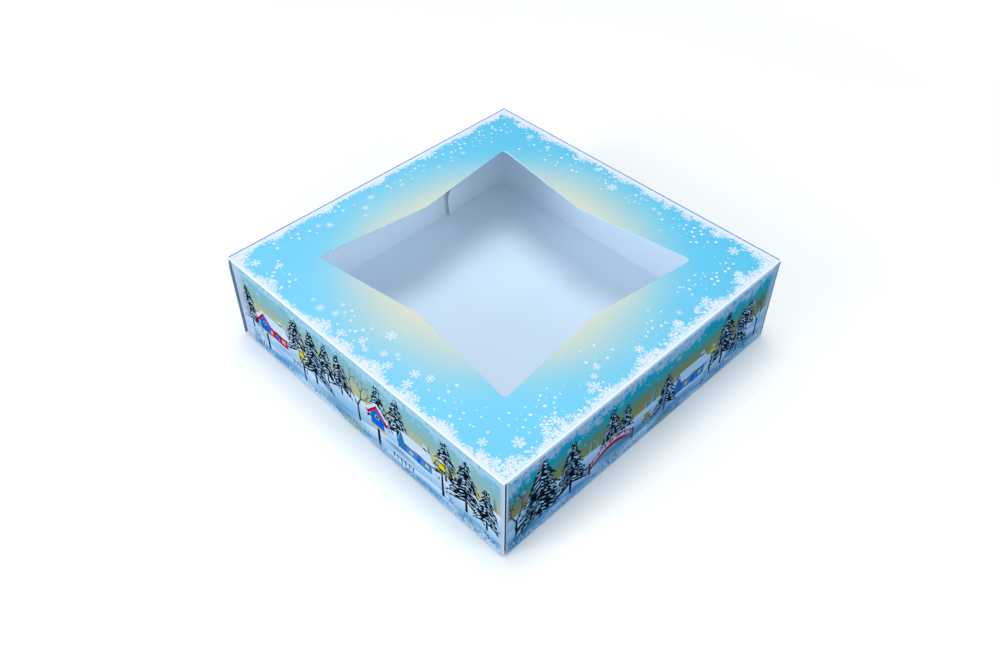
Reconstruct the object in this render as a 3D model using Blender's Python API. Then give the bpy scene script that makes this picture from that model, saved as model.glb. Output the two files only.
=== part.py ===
"""Window bakery box: a folding carton with a hinged, full-depth window lid, shown closed.

The carton is folded from one creased sheet of board. Each panel between two creases is
modelled lying flat, in its own frame, and is then folded about its crease, so the
objects form the same tree as the panels of the flat sheet: bottom, walls, lid, flaps.

World frame: metres, +Z up, origin under the middle of the box. The hinge crease is at
the back (+Y) and the front flap at -Y.

Panel frame: the origin is the middle of the crease that the panel folds on, u runs along
that crease, v runs away from it across the panel, and w is the outer face's normal.
"""

import math

import bmesh
import bpy
from mathutils import Vector

# Outer size of the closed box
BOX_WIDTH = 0.230
BOX_DEPTH = 0.230
BOX_HEIGHT = 0.0625

# The board and its creases
BOARD = 0.0006
CREASE_RADIUS = 0.0008
CREASE_GAP = 0.0003
CREASE_STEPS = 3
FOLD_ANGLE = math.radians(90)

# Running clearances between layers of board
FLAP_TO_EAR = 0.0008
EAR_TO_WALL = 0.0008
FRONT_TO_WALL = 0.0008
TAB_TO_WALL = 0.0009
LID_TO_WALL = 0.0005
FLAP_TO_GROUND = 0.0005

# The back wall's ends are drawn in towards the hinge crease at their heads
HINGE_CHAMFER_HEIGHT = 0.008
HINGE_CHAMFER_WIDTH = 0.0012

# Side flaps of the lid
SIDE_FLAP_REAR_SETBACK = 0.0042
SIDE_FLAP_CORNER = 0.001

# Front flap of the lid and its two tuck ears
FRONT_FLAP_CORNER = 0.002
EAR_TOP_SETBACK = 0.0022
EAR_BOTTOM_SETBACK = 0.0036
EAR_LENGTH = 0.055
EAR_TOP_TAPER = 0.014
EAR_BOTTOM_TAPER = 0.005
EAR_CORNER = 0.008

# Corner tabs that join the side walls to the front and back walls
TAB_LENGTH = 0.0575
TAB_FOOT_SETBACK = 0.0016
TAB_HEAD_SETBACK = 0.003
TAB_LEAN = 0.0022
TAB_END_HEIGHT = 0.019
TAB_CORNER = 0.009

# Star window: a square whose sides are drawn in at their middles
WINDOW_TIP = 0.0776
WINDOW_KINK = 0.0677
WINDOW_TIP_RADIUS = 0.0024
WINDOW_KINK_RADIUS = 0.012

# Clear film glued under the window
FILM = 0.0001
FILM_MARGIN = 0.010
FILM_TO_BOARD = 0.0003
FILM_CORNER = 0.003

ARC_STEPS = 6

# Derived planes, each the outer face of its layer, measured from the middle of the box
EAR_PLANE = BOX_WIDTH / 2 - BOARD - FLAP_TO_EAR
SIDE_WALL_PLANE = EAR_PLANE - BOARD - EAR_TO_WALL
FRONT_WALL_PLANE = BOX_DEPTH / 2 - BOARD - FRONT_TO_WALL
BACK_WALL_PLANE = BOX_DEPTH / 2
FRONT_TAB_PLANE = FRONT_WALL_PLANE - BOARD - TAB_TO_WALL
BACK_TAB_PLANE = BACK_WALL_PLANE - BOARD - TAB_TO_WALL
WALL_HEIGHT = BOX_HEIGHT - BOARD - LID_TO_WALL
FLAP_HEIGHT = BOX_HEIGHT - FLAP_TO_GROUND
BACK_WALL_HALF = BOX_WIDTH / 2
HINGE_HALF = BACK_WALL_HALF - HINGE_CHAMFER_WIDTH

# Where a crease stops short of a corner, the board is cut back by one layer and a gap
RELIEF = BOARD + CREASE_GAP

# Two edge directions whose cross product is below this run on in one line
PARALLEL = 1e-6

CREASED = True
CUT = False


def clear_scene():
    """Start from an empty scene."""
    for item in list(bpy.data.objects):
        bpy.data.objects.remove(item, do_unlink=True)


def make_material(name, color, roughness, alpha=1.0):
    material = bpy.data.materials.new(name)
    material.use_nodes = True
    shader = material.node_tree.nodes["Principled BSDF"]
    shader.inputs["Base Color"].default_value = (*color, 1.0)
    shader.inputs["Roughness"].default_value = roughness
    shader.inputs["Metallic"].default_value = 0.0
    shader.inputs["Alpha"].default_value = alpha
    return material


def crease_profile():
    """Setback from the fold line and depth below the outer face, from outside to inside.

    The outer edge is rounded, and below it the edge is mitred at half the fold, so that
    two panels folded against each other leave the crease gap between their mitres.
    """
    shift = CREASE_GAP / math.sqrt(2)
    mitre_start = math.acos(shift / (CREASE_RADIUS * math.sqrt(2))) - math.pi / 4
    levels = []
    for step in range(CREASE_STEPS + 1):
        turn = mitre_start * step / CREASE_STEPS
        setback = CREASE_RADIUS * (1 - math.sin(turn))
        depth = CREASE_RADIUS * (1 - math.cos(turn))
        levels.append((setback, depth))
    levels.append((BOARD + shift, BOARD))
    return levels


def line_crossing(point_a, along_a, point_b, along_b):
    """Where two lines in the panel's plane meet."""
    cross = along_a.cross(along_b)
    return point_a + along_a * ((point_b - point_a).cross(along_b) / cross)


def inset_loop(outline, setback):
    """Move the creased edges of an outline inwards; the cut edges stay where they are."""
    count = len(outline)
    points = [Vector(corner[:2]) for corner in outline]
    edges = []
    for index in range(count):
        along = (points[(index + 1) % count] - points[index]).normalized()
        inward = Vector((-along.y, along.x))
        start = points[index]
        if outline[index][2]:
            start = start + inward * setback
        edges.append((start, along))
    loop = []
    for index in range(count):
        before = edges[index - 1]
        after = edges[index]
        if abs(before[1].cross(after[1])) < PARALLEL:
            loop.append(after[0])
        else:
            loop.append(line_crossing(*before, *after))
    return loop


def mirrored(outline):
    """The same outline with u reversed, still running anticlockwise."""
    count = len(outline)
    flipped = []
    for index in reversed(range(count)):
        u, v, _ = outline[index]
        flipped.append((-u, v, outline[index - 1][2]))
    return flipped


def arc(corner, before, after, radius):
    """Points of a fillet at a corner between the points before and after it."""
    corner = Vector(corner)
    to_before = (Vector(before) - corner).normalized()
    to_after = (Vector(after) - corner).normalized()
    half_angle = to_before.angle(to_after) / 2
    reach = radius / math.tan(half_angle)
    middle = (to_before + to_after).normalized()
    centre = corner + middle * (radius / math.sin(half_angle))
    start = corner + to_before * reach - centre
    end = corner + to_after * reach - centre
    sweep = math.atan2(start.cross(end), start.dot(end))
    points = []
    for step in range(ARC_STEPS + 1):
        turn = sweep * step / ARC_STEPS
        spoke = Vector((
            start.x * math.cos(turn) - start.y * math.sin(turn),
            start.x * math.sin(turn) + start.y * math.cos(turn),
        ))
        points.append(tuple(centre + spoke))
    return points


def rounded(corners):
    """An outline from (u, v, radius, edge after it is creased), with rounded corners."""
    count = len(corners)
    outline = []
    for index, (u, v, radius, creased) in enumerate(corners):
        if radius == 0:
            outline.append((u, v, creased))
            continue
        before = corners[index - 1][:2]
        after = corners[(index + 1) % count][:2]
        fillet = arc((u, v), before, after, radius)
        for point in fillet[:-1]:
            outline.append((*point, CUT))
        outline.append((*fillet[-1], creased))
    return outline


def slab_mesh(name, outline, levels):
    """A closed slab: the outline repeated at each level, walled and capped."""
    mesh = bpy.data.meshes.new(name)
    bm = bmesh.new()
    loops = []
    for setback, depth in levels:
        loop = [bm.verts.new((point.x, point.y, -depth)) for point in inset_loop(outline, setback)]
        loops.append(loop)
    for upper, lower in zip(loops, loops[1:]):
        for index in range(len(upper)):
            following = (index + 1) % len(upper)
            bm.faces.new((upper[index], lower[index], lower[following], upper[following]))
    bm.faces.new(loops[0])
    bm.faces.new(reversed(loops[-1]))
    bmesh.ops.recalc_face_normals(bm, faces=bm.faces)
    bm.to_mesh(mesh)
    bm.free()
    return mesh


def place(name, mesh, material, parent, crease_at, heading, fold):
    """Hang a panel on its parent: turned to its heading in the sheet, then folded back."""
    panel = bpy.data.objects.new(name, mesh)
    bpy.context.scene.collection.objects.link(panel)
    mesh.materials.append(material)
    panel.parent = parent
    panel.location = crease_at
    panel.rotation_euler = (-fold, 0.0, math.radians(heading) - math.pi / 2)
    return panel


def fold_panel(name, outline, material, parent, crease_at, heading):
    mesh = slab_mesh(name, outline, crease_profile())
    return place(name, mesh, material, parent, (*crease_at, 0.0), heading, FOLD_ANGLE)


def make_bottom(material):
    outline = [
        (-SIDE_WALL_PLANE, -BACK_WALL_PLANE, CREASED),
        (SIDE_WALL_PLANE, -BACK_WALL_PLANE, CREASED),
        (SIDE_WALL_PLANE, FRONT_WALL_PLANE, CREASED),
        (-SIDE_WALL_PLANE, FRONT_WALL_PLANE, CREASED),
    ]
    mesh = slab_mesh("tray_bottom", outline, crease_profile())
    bottom = place("tray_bottom", mesh, material, None, (0.0, 0.0, 0.0), 90, 0.0)
    bottom.rotation_euler = (math.pi, 0.0, 0.0)
    return bottom


def make_front_wall(bottom, material):
    outline = [
        (-SIDE_WALL_PLANE, 0.0, CREASED),
        (SIDE_WALL_PLANE, 0.0, CUT),
        (SIDE_WALL_PLANE, WALL_HEIGHT, CUT),
        (-SIDE_WALL_PLANE, WALL_HEIGHT, CUT),
    ]
    return fold_panel("tray_front_wall", outline, material, bottom, (0.0, FRONT_WALL_PLANE), 90)


def make_back_wall(bottom, material):
    """The widest wall: its ends reach past the side walls, and its head is the hinge."""
    right_half = [
        (SIDE_WALL_PLANE, 0.0, CUT),
        (SIDE_WALL_PLANE, RELIEF, CUT),
        (BACK_WALL_HALF, RELIEF, CUT),
        (BACK_WALL_HALF, BOX_HEIGHT - HINGE_CHAMFER_HEIGHT, CUT),
        (HINGE_HALF, BOX_HEIGHT, CREASED),
    ]
    left_half = [(-u, v, CUT) for u, v, _ in reversed(right_half)]
    left_half[-1] = (-SIDE_WALL_PLANE, 0.0, CREASED)
    outline = right_half + left_half
    return fold_panel("tray_back_wall", outline, material, bottom, (0.0, -BACK_WALL_PLANE), -90)


def make_side_wall(bottom, material, side):
    """A side wall, which runs from the front tab's crease to the back tab's crease."""
    ends = (-FRONT_TAB_PLANE, BACK_TAB_PLANE)
    outline = [
        (ends[0], 0.0, CREASED),
        (ends[1], 0.0, CREASED),
        (ends[1], WALL_HEIGHT, CUT),
        (ends[0], WALL_HEIGHT, CREASED),
    ]
    heading = 0
    if side < 0:
        outline = mirrored(outline)
        heading = 180
    name = "tray_right_wall" if side > 0 else "tray_left_wall"
    return fold_panel(name, outline, material, bottom, (side * SIDE_WALL_PLANE, 0.0), heading)


def tab_outline():
    """A tab with u upwards: it leans out from its foot to a low rounded end."""
    half = WALL_HEIGHT / 2
    foot = -half + TAB_FOOT_SETBACK
    head = half - TAB_HEAD_SETBACK
    end_head = -half + TAB_END_HEIGHT
    return rounded([
        (foot, 0.0, 0, CREASED),
        (head, 0.0, 0, CUT),
        (end_head, TAB_LENGTH, TAB_CORNER, CUT),
        (foot, TAB_LENGTH - TAB_LEAN, 0, CUT),
    ])


def make_tab(wall, material, side, end):
    """A corner tab, folded from a side wall on to the inside of the front or back wall."""
    end_plane = BACK_TAB_PLANE if end > 0 else FRONT_TAB_PLANE
    along_wall = side * end
    outline = tab_outline()
    heading = 180
    if along_wall > 0:
        outline = mirrored(outline)
        heading = 0
    name = "{}_{}_tab".format("back" if end > 0 else "front", "right" if side > 0 else "left")
    crease_at = (along_wall * end_plane, WALL_HEIGHT / 2)
    return fold_panel(name, outline, material, wall, crease_at, heading)


def star_outline():
    """Window outline about its centre: tips on the diagonals, sides drawn in at their middles."""
    corners = []
    for quarter in range(4):
        turn = quarter * math.pi / 2
        for u, v, radius in (
            (WINDOW_KINK, 0.0, WINDOW_KINK_RADIUS),
            (WINDOW_TIP, WINDOW_TIP, WINDOW_TIP_RADIUS),
        ):
            corners.append((
                u * math.cos(turn) - v * math.sin(turn),
                u * math.sin(turn) + v * math.cos(turn),
                radius,
                CUT,
            ))
    return rounded(corners)


def cut_window(lid):
    """Cut the star through the lid with a prism that stands proud of both faces."""
    levels = [(0.0, -BOARD), (0.0, 2 * BOARD)]
    mesh = slab_mesh("window_cutter", star_outline(), levels)
    cutter = bpy.data.objects.new("window_cutter", mesh)
    bpy.context.scene.collection.objects.link(cutter)
    cutter.parent = lid
    cutter.location = (0.0, BOX_DEPTH / 2, 0.0)
    cutter.hide_render = True
    cutter.display_type = "WIRE"
    cut = lid.modifiers.new("window", "BOOLEAN")
    cut.operation = "DIFFERENCE"
    cut.solver = "EXACT"
    cut.object = cutter


def make_lid(back_wall, material):
    """The top panel: hinge crease at the back, a flap crease on each other side."""
    half = BOX_WIDTH / 2
    outline = [
        (-HINGE_HALF, 0.0, CREASED),
        (HINGE_HALF, 0.0, CUT),
        (HINGE_HALF, RELIEF, CUT),
        (half, RELIEF, CREASED),
        (half, BOX_DEPTH - RELIEF, CUT),
        (EAR_PLANE, BOX_DEPTH - RELIEF, CUT),
        (EAR_PLANE, BOX_DEPTH, CREASED),
        (-EAR_PLANE, BOX_DEPTH, CUT),
        (-EAR_PLANE, BOX_DEPTH - RELIEF, CUT),
        (-half, BOX_DEPTH - RELIEF, CREASED),
        (-half, RELIEF, CUT),
        (-HINGE_HALF, RELIEF, CUT),
    ]
    lid = fold_panel("lid_top", outline, material, back_wall, (0.0, BOX_HEIGHT), 90)
    cut_window(lid)
    return lid


def make_side_flap(lid, material, side):
    """A full-depth side flap; its front edge is flush with the front flap's face."""
    front = BOX_DEPTH / 2
    rear = -(BOX_DEPTH / 2 - SIDE_FLAP_REAR_SETBACK)
    outline = rounded([
        (rear, 0.0, 0, CREASED),
        (front, 0.0, 0, CUT),
        (front, FLAP_HEIGHT, SIDE_FLAP_CORNER, CUT),
        (rear, FLAP_HEIGHT, SIDE_FLAP_CORNER, CUT),
    ])
    heading = 180
    if side < 0:
        outline = mirrored(outline)
        heading = 0
    name = "lid_right_flap" if side > 0 else "lid_left_flap"
    crease_at = (-side * BOX_WIDTH / 2, BOX_DEPTH / 2)
    return fold_panel(name, outline, material, lid, crease_at, heading)


def make_front_flap(lid, material):
    """The front flap, between the two ear creases, cut back below each of them."""
    ear_foot = FLAP_HEIGHT - EAR_BOTTOM_SETBACK
    foot_half = EAR_PLANE - RELIEF
    outline = rounded([
        (-EAR_PLANE, 0.0, 0, CREASED),
        (EAR_PLANE, 0.0, 0, CREASED),
        (EAR_PLANE, ear_foot, 0, CUT),
        (foot_half, ear_foot, 0, CUT),
        (foot_half, FLAP_HEIGHT, FRONT_FLAP_CORNER, CUT),
        (-foot_half, FLAP_HEIGHT, FRONT_FLAP_CORNER, CUT),
        (-foot_half, ear_foot, 0, CUT),
        (-EAR_PLANE, ear_foot, 0, CREASED),
    ])
    return fold_panel("lid_front_flap", outline, material, lid, (0.0, BOX_DEPTH), 90)


def make_ear(front_flap, material, side):
    """A tapered tuck ear, folded back between the side flap and the side wall."""
    top = EAR_TOP_SETBACK
    foot = FLAP_HEIGHT - EAR_BOTTOM_SETBACK
    middle = (top + foot) / 2
    half = (foot - top) / 2
    outline = rounded([
        (-half, 0.0, 0, CREASED),
        (half, 0.0, 0, CUT),
        (half - EAR_TOP_TAPER, EAR_LENGTH, EAR_CORNER, CUT),
        (-half + EAR_BOTTOM_TAPER, EAR_LENGTH, EAR_CORNER, CUT),
    ])
    heading = 0
    if side > 0:
        outline = mirrored(outline)
        heading = 180
    name = "right_ear" if side > 0 else "left_ear"
    return fold_panel(name, outline, material, front_flap, (-side * EAR_PLANE, middle), heading)


def make_film(lid, material):
    half = WINDOW_TIP + FILM_MARGIN
    outline = rounded([
        (-half, -half, FILM_CORNER, CUT),
        (half, -half, FILM_CORNER, CUT),
        (half, half, FILM_CORNER, CUT),
        (-half, half, FILM_CORNER, CUT),
    ])
    mesh = slab_mesh("window_film", outline, [(0.0, 0.0), (0.0, FILM)])
    face = BOARD + FILM_TO_BOARD
    return place("window_film", mesh, material, lid, (0.0, BOX_DEPTH / 2, -face), 90, 0.0)


def main():
    clear_scene()
    white_board = make_material("white_board", (0.86, 0.88, 0.90), 0.6)
    printed_board = make_material("printed_board", (0.33, 0.68, 0.86), 0.35)
    clear_film = make_material("clear_film", (0.95, 0.97, 1.0), 0.05, alpha=0.2)

    bottom = make_bottom(white_board)
    make_front_wall(bottom, white_board)
    back_wall = make_back_wall(bottom, white_board)
    for side in (-1, 1):
        wall = make_side_wall(bottom, white_board, side)
        for end in (-1, 1):
            make_tab(wall, white_board, side, end)

    lid = make_lid(back_wall, printed_board)
    make_film(lid, clear_film)
    for side in (-1, 1):
        make_side_flap(lid, printed_board, side)
    front_flap = make_front_flap(lid, printed_board)
    for side in (-1, 1):
        make_ear(front_flap, printed_board, side)
    bpy.context.view_layer.update()


main()
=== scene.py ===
"""Looks of the window bakery box: printed board panels, creases, clear film, and a plain studio.

Every panel is dressed with a board of the frame's own outline, and only the lid's window is cut
as the photo shows it. The outer face is split along the outlines of the print, so the print is
crisp at any distance, and each split face carries its ink in a colour attribute that the
material lays over a procedural ground. Lengths are in millimetres unless a comment says else.
"""

import math
import random

import bpy
from mathutils import Matrix, Vector
from mathutils.bvhtree import BVHTree
from mathutils.geometry import delaunay_2d_cdt


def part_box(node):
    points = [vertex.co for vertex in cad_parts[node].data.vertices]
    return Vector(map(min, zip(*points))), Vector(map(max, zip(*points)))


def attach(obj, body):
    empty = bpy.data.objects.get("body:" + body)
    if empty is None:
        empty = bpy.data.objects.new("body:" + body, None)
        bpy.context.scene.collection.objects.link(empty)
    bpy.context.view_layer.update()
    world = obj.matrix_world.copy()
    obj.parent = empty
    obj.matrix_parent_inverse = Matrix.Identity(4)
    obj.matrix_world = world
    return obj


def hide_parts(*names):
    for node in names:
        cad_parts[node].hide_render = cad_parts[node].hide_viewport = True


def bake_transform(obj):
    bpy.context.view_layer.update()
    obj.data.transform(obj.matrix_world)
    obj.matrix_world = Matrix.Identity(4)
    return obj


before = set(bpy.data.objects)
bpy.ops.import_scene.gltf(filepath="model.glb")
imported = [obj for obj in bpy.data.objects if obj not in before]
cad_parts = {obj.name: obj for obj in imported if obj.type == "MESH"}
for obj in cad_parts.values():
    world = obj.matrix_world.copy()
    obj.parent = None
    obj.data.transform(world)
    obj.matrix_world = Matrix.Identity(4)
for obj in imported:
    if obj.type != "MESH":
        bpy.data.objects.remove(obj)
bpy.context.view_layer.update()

MM = 0.001

# The photograph's camera, with its place in metres and its turns in degrees
IMAGE_WIDTH = 1000
FOCAL_PIXELS = 976.7
SENSOR_MM = 36.0
CAMERA_PLACE = (-0.3103, -0.3064, 0.4356)
CAMERA_YAW = 45.081
CAMERA_PITCH = 44.949
CAMERA_ROLL = 0.337

# Directions of the outer faces
LEFT, RIGHT = Vector((-1, 0, 0)), Vector((1, 0, 0))
FRONT, BACK = Vector((0, -1, 0)), Vector((0, 1, 0))
UP, DOWN = Vector((0, 0, 1)), Vector((0, 0, -1))

# The box's outer size, from the frame
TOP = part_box("lid_top")[1].z / MM
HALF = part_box("lid_right_flap")[1].x / MM
BOARD = (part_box("lid_top")[1].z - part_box("lid_top")[0].z) / MM

# Folds: the round outside, the low bead inside, and how far a bead sinks into its panels
CREASE_RADIUS = 0.8
CREASE_STEPS = 6
BEAD_REACH = 0.5
BEAD_HEIGHT = 0.35
SEAM = 0.004
# The thickness of a fold that turns
TURNING_DEPTH = 0.34

# The window's cut edge leans in on the right and out at the back
LEAN_RIGHT = 0.5
LEAN_BACK = 0.6
# How far the window's kinks and tips lie from the frame's, from +X on at every eighth of a turn
WINDOW_SHIFTS = (
    (-0.8, 0), (1.0, 0.6), (0, 0.7), (1.0, -0.1), (0.75, 0), (0.7, 0), (0, -0.8), (-0.3, -0.4),
)

# The corner tabs' free ends bow off their walls, and their feet come down to the bottom
TAB_SPRING = 2.0
TAB_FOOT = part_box("back_left_tab")[0].z / MM
BOW_START = 76
BOW_RUN = 21
FOOT_LEVEL = 0.75
FOOT_RISE = 4

# Names of the colour attribute and of the map that the print is laid out on
INK = "ink"
PRINT_MAP = "OFBake"
# Inks whose roots differ by less than this look the same
SAME_INK = 0.025


def linear(red, green, blue):
    """A colour given as 0 to 255 in sRGB, as linear values."""
    values = []
    for value in (red, green, blue):
        share = value / 255
        values.append(share / 12.92 if share <= 0.04045 else ((share + 0.055) / 1.055) ** 2.4)
    return tuple(values)


# Outlines that the print is drawn with, in millimetres


def turned(points, place, angle):
    """Points turned about the origin and moved to a place."""
    cosine, sine = math.cos(angle), math.sin(angle)
    return [
        (place[0] + u * cosine - v * sine, place[1] + u * sine + v * cosine)
        for u, v in points
    ]


def disc(place, radius, corners=9):
    """A round dot, as a polygon."""
    turns = [2 * math.pi * step / corners for step in range(corners)]
    return [(place[0] + radius * math.cos(turn), place[1] + radius * math.sin(turn)) for turn in turns]


def box(left, bottom, right, top):
    return [(left, bottom), (right, bottom), (right, top), (left, top)]


def arm_side(length, width, branches):
    """One side of an ice needle along +u, with side needles that lean forward by 60 degrees."""
    side = []
    for start, reach in branches:
        along, across = reach * 0.5, reach * 0.866
        side.append((start, width))
        side.append((start + along + width * 0.5, width + across))
        side.append((start + 2.2 * width, width))
    side.append((length - width, width))
    return side


def needle(place, angle, length, width, pairs):
    """A fern-like ice needle that grows from a place."""
    branches = []
    for index in range(pairs):
        start = length * (0.12 + 0.72 * index / pairs)
        branches.append((start, 0.2 + 0.42 * (length - start)))
    side = arm_side(length, width, branches)
    outline = [(0, -width)] + [(u, -v) for u, v in side] + [(length, 0)]
    outline += side[::-1] + [(0, width)]
    return turned(outline, place, angle)


# Each kind's width of arm, and its side needles: where they start and how far they reach
FLAKE_KINDS = (
    (0.075, ((0.36, 0.22), (0.62, 0.28))),
    (0.085, ((0.56, 0.36),)),
    (0.07, ((0.30, 0.18), (0.50, 0.32), (0.74, 0.20))),
    (0.13, ()),
)


def flake(place, radius, turn, kind):
    """A snowflake of six equal arms."""
    width, branches = FLAKE_KINDS[kind]
    width *= radius
    side = arm_side(radius, width, [(start * radius, reach * radius) for start, reach in branches])
    outline = []
    for arm in range(6):
        angle = turn + arm * math.pi / 3
        outline += turned([(width / math.sin(math.pi / 6), 0)], place, angle - math.pi / 6)
        outline += turned([(u, -v) for u, v in side] + [(radius, 0)] + side[::-1], place, angle)
    return outline


def reached(start, length, angle):
    """Where a stroke of a length ends, at an angle from the first axis."""
    return (start[0] + length * math.cos(angle), start[1] + length * math.sin(angle))


def swayed(start, length, lean):
    """Where a stroke of a length ends that leans off straight up."""
    return (start[0] + length * math.sin(lean), start[1] + length * math.cos(lean))


def between(start, end, share, lift=0.0):
    """A point on the way from one to the other, and lifted off it."""
    u, v = (first + (last - first) * share for first, last in zip(start, end))
    return (u, v + lift)


def leaf(start, end, width):
    """A tapering stroke of the brush from one point to another."""
    along = Vector(end) - Vector(start)
    across = Vector((-along.y, along.x)).normalized() * width / 2
    first = Vector(start) + along * 0.25
    second = Vector(start) + along * 0.7
    points = (
        Vector(start), first - across, second - across * 0.8,
        Vector(end), second + across * 0.8, first + across,
    )
    return [tuple(point) for point in points]


def stick(start, end, start_width, end_width):
    """A straight tapering bar."""
    along = (Vector(end) - Vector(start)).normalized()
    across = Vector((-along.y, along.x)) / 2
    start, end = Vector(start), Vector(end)
    points = (
        start - across * start_width, end - across * end_width,
        end + across * end_width, start + across * start_width,
    )
    return [tuple(point) for point in points]


class Print:
    """Shapes laid over each other on one face, each with its ink and how far it covers."""

    def __init__(self, seed, tone=(1, 1, 1)):
        self.shapes = []
        self.random = random.Random(seed)
        self.tone = tone

    def lay(self, outline, ink, cover=1.0):
        toned = [share * value for share, value in zip(self.tone, ink)]
        self.shapes.append((outline, (*toned, cover)))


# The frame's panels


def around(items):
    """Each item with the one after it, and the last with the first."""
    return list(zip(items, items[1:] + items[:1]))


def border_loops(sides):
    """Loops of the sides that only one face has, where each side says its start and its end."""
    single = set()
    for start, end in sides:
        if (end, start) in single:
            single.remove((end, start))
        else:
            single.add((start, end))
    following = dict(single)
    loops = []
    while following:
        key = next(iter(following))
        loop = []
        while key in following:
            loop.append(key)
            key = following.pop(key)
        loops.append(loop)
    return loops


def area(loop):
    """The area within a loop, which is negative where the loop runs clockwise."""
    return sum(u0 * v1 - u1 * v0 for (u0, v0), (u1, v1) in around(loop)) / 2


def anticlockwise(loop):
    return loop if area(loop) > 0 else loop[::-1]


class Plane:
    """The outer face of a panel: v runs up, or back on a lying panel, and u to its right."""

    def __init__(self, node, normal):
        low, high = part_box(node)
        self.node = node
        self.normal = normal
        self.across = Vector((0, 1, 0)) if abs(normal.z) > 0.5 else Vector((0, 0, 1))
        self.along = self.across.cross(normal)
        self.level = max(low.dot(normal), high.dot(normal)) / MM

    def flat(self, point):
        """A point of the frame in the panel's own millimetres."""
        return (point.dot(self.along) / MM, point.dot(self.across) / MM)

    def solid(self, place, depth=0.0):
        """A place on the panel as a point of the frame, below the outer face by a depth."""
        level = (self.level - depth) * MM
        return self.along * (place[0] * MM) + self.across * (place[1] * MM) + self.normal * level

    def loops(self):
        """The outlines of the outer face, the largest first, all anticlockwise."""
        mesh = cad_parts[self.node].data
        sides, places = [], {}
        for face in mesh.polygons:
            if face.normal.dot(self.normal) < 0.9999:
                continue
            keys = []
            for index in face.vertices:
                place = self.flat(mesh.vertices[index].co)
                key = (round(place[0], 3), round(place[1], 3))
                places[key] = place
                keys.append(key)
            sides += around(keys)
        found = [anticlockwise([places[key] for key in loop]) for loop in border_loops(sides)]
        return sorted(found, key=area, reverse=True)


def triangulate(rings):
    """Points and triangles, each triangle with the rings that it lies in."""
    points, faces = [], []
    for ring in rings:
        faces.append(list(range(len(points), len(points) + len(ring))))
        points.extend(Vector(place) for place in anticlockwise(ring))
    found = delaunay_2d_cdt(points, [], faces, 1, 1e-5, True)
    return found[0], found[2], found[3], found[5]


def laid_over(shapes, covering):
    """The ink that shapes make together, each laid over the ones before it."""
    colour, cover = Vector((0, 0, 0)), 0.0
    for index in covering:
        *ink, share = shapes[index][1]
        colour = colour * (1 - share) + Vector(ink) * share
        cover = cover * (1 - share) + share
    if cover > 0:
        colour = colour / cover
    return (*colour, cover)


def alike(ink, other):
    """Whether two inks look the same; roots weigh light and dark inks about as the eye does."""
    return all(abs(math.sqrt(one) - math.sqrt(two)) < SAME_INK for one, two in zip(ink, other))


def merged(points, triangles, inks):
    """The same print with no lines left inside a patch of one ink."""
    sides = {}
    for number, triangle in enumerate(triangles):
        for start, end in around(triangle):
            sides.setdefault((min(start, end), max(start, end)), []).append(number)
    lines = []
    for side, beside in sides.items():
        if len(beside) < 2 or not alike(inks[beside[0]], inks[beside[1]]):
            lines.append(side)
    used = sorted({index for line in lines for index in line})
    numbers = {index: number for number, index in enumerate(used)}
    corners = [points[index] for index in used]
    lines = [(numbers[start], numbers[end]) for start, end in lines]
    found = delaunay_2d_cdt(corners, lines, [], 0, 1e-6, True)

    tree = BVHTree.FromPolygons([(u, v, 0) for u, v in points], triangles)
    kept, kept_inks = [], []
    for triangle in found[2]:
        middle = sum((found[0][index] for index in triangle), Vector((0, 0))) / 3
        under = tree.ray_cast(Vector((*middle, 1)), Vector((0, 0, -1)))[2]
        if under is not None:
            kept.append(list(triangle))
            kept_inks.append(inks[under])
    return found[0], kept, kept_inks


def new_piece(name, mesh):
    piece = bpy.data.objects.new(name, mesh)
    bpy.context.scene.collection.objects.link(piece)
    return piece


def printed_face(outline, holes, shapes):
    """The outer face cut along the print: its points, its triangles, and the ink of each."""
    rings = [outline, *holes, *(shape for shape, _ in shapes)]
    first = 1 + len(holes)
    points, triangles, _, sources = triangulate(rings)
    kept, inks, known = [], [], {}
    for triangle, source in zip(triangles, sources):
        if 0 not in source or any(0 < ring < first for ring in source):
            continue
        covering = tuple(sorted(ring - first for ring in source if ring >= first))
        if covering not in known:
            known[covering] = laid_over(shapes, covering)
        kept.append(list(triangle))
        inks.append(known[covering])
    if any(ink[-1] > 0 for _, ink in shapes):
        points, kept, inks = merged(points, kept, inks)
    return points, kept, inks


def inner_face(places, borders, below):
    """The inside of a board in as few triangles as its borders allow, facing the other way."""
    loops = [[places[index] for index in border] for border in borders]
    ordered = [border if area(loop) > 0 else border[::-1] for border, loop in zip(borders, loops)]
    numbers = [index for border in ordered for index in border]
    _, fill, fill_from, fill_in = triangulate([[places[index] for index in border] for border in ordered])
    outer = max(range(len(loops)), key=lambda number: abs(area(loops[number])))
    faces = []
    for triangle, source in zip(fill, fill_in):
        if source == [outer]:
            faces.append([below[numbers[fill_from[index][0]]] for index in triangle][::-1])
    return faces


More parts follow.
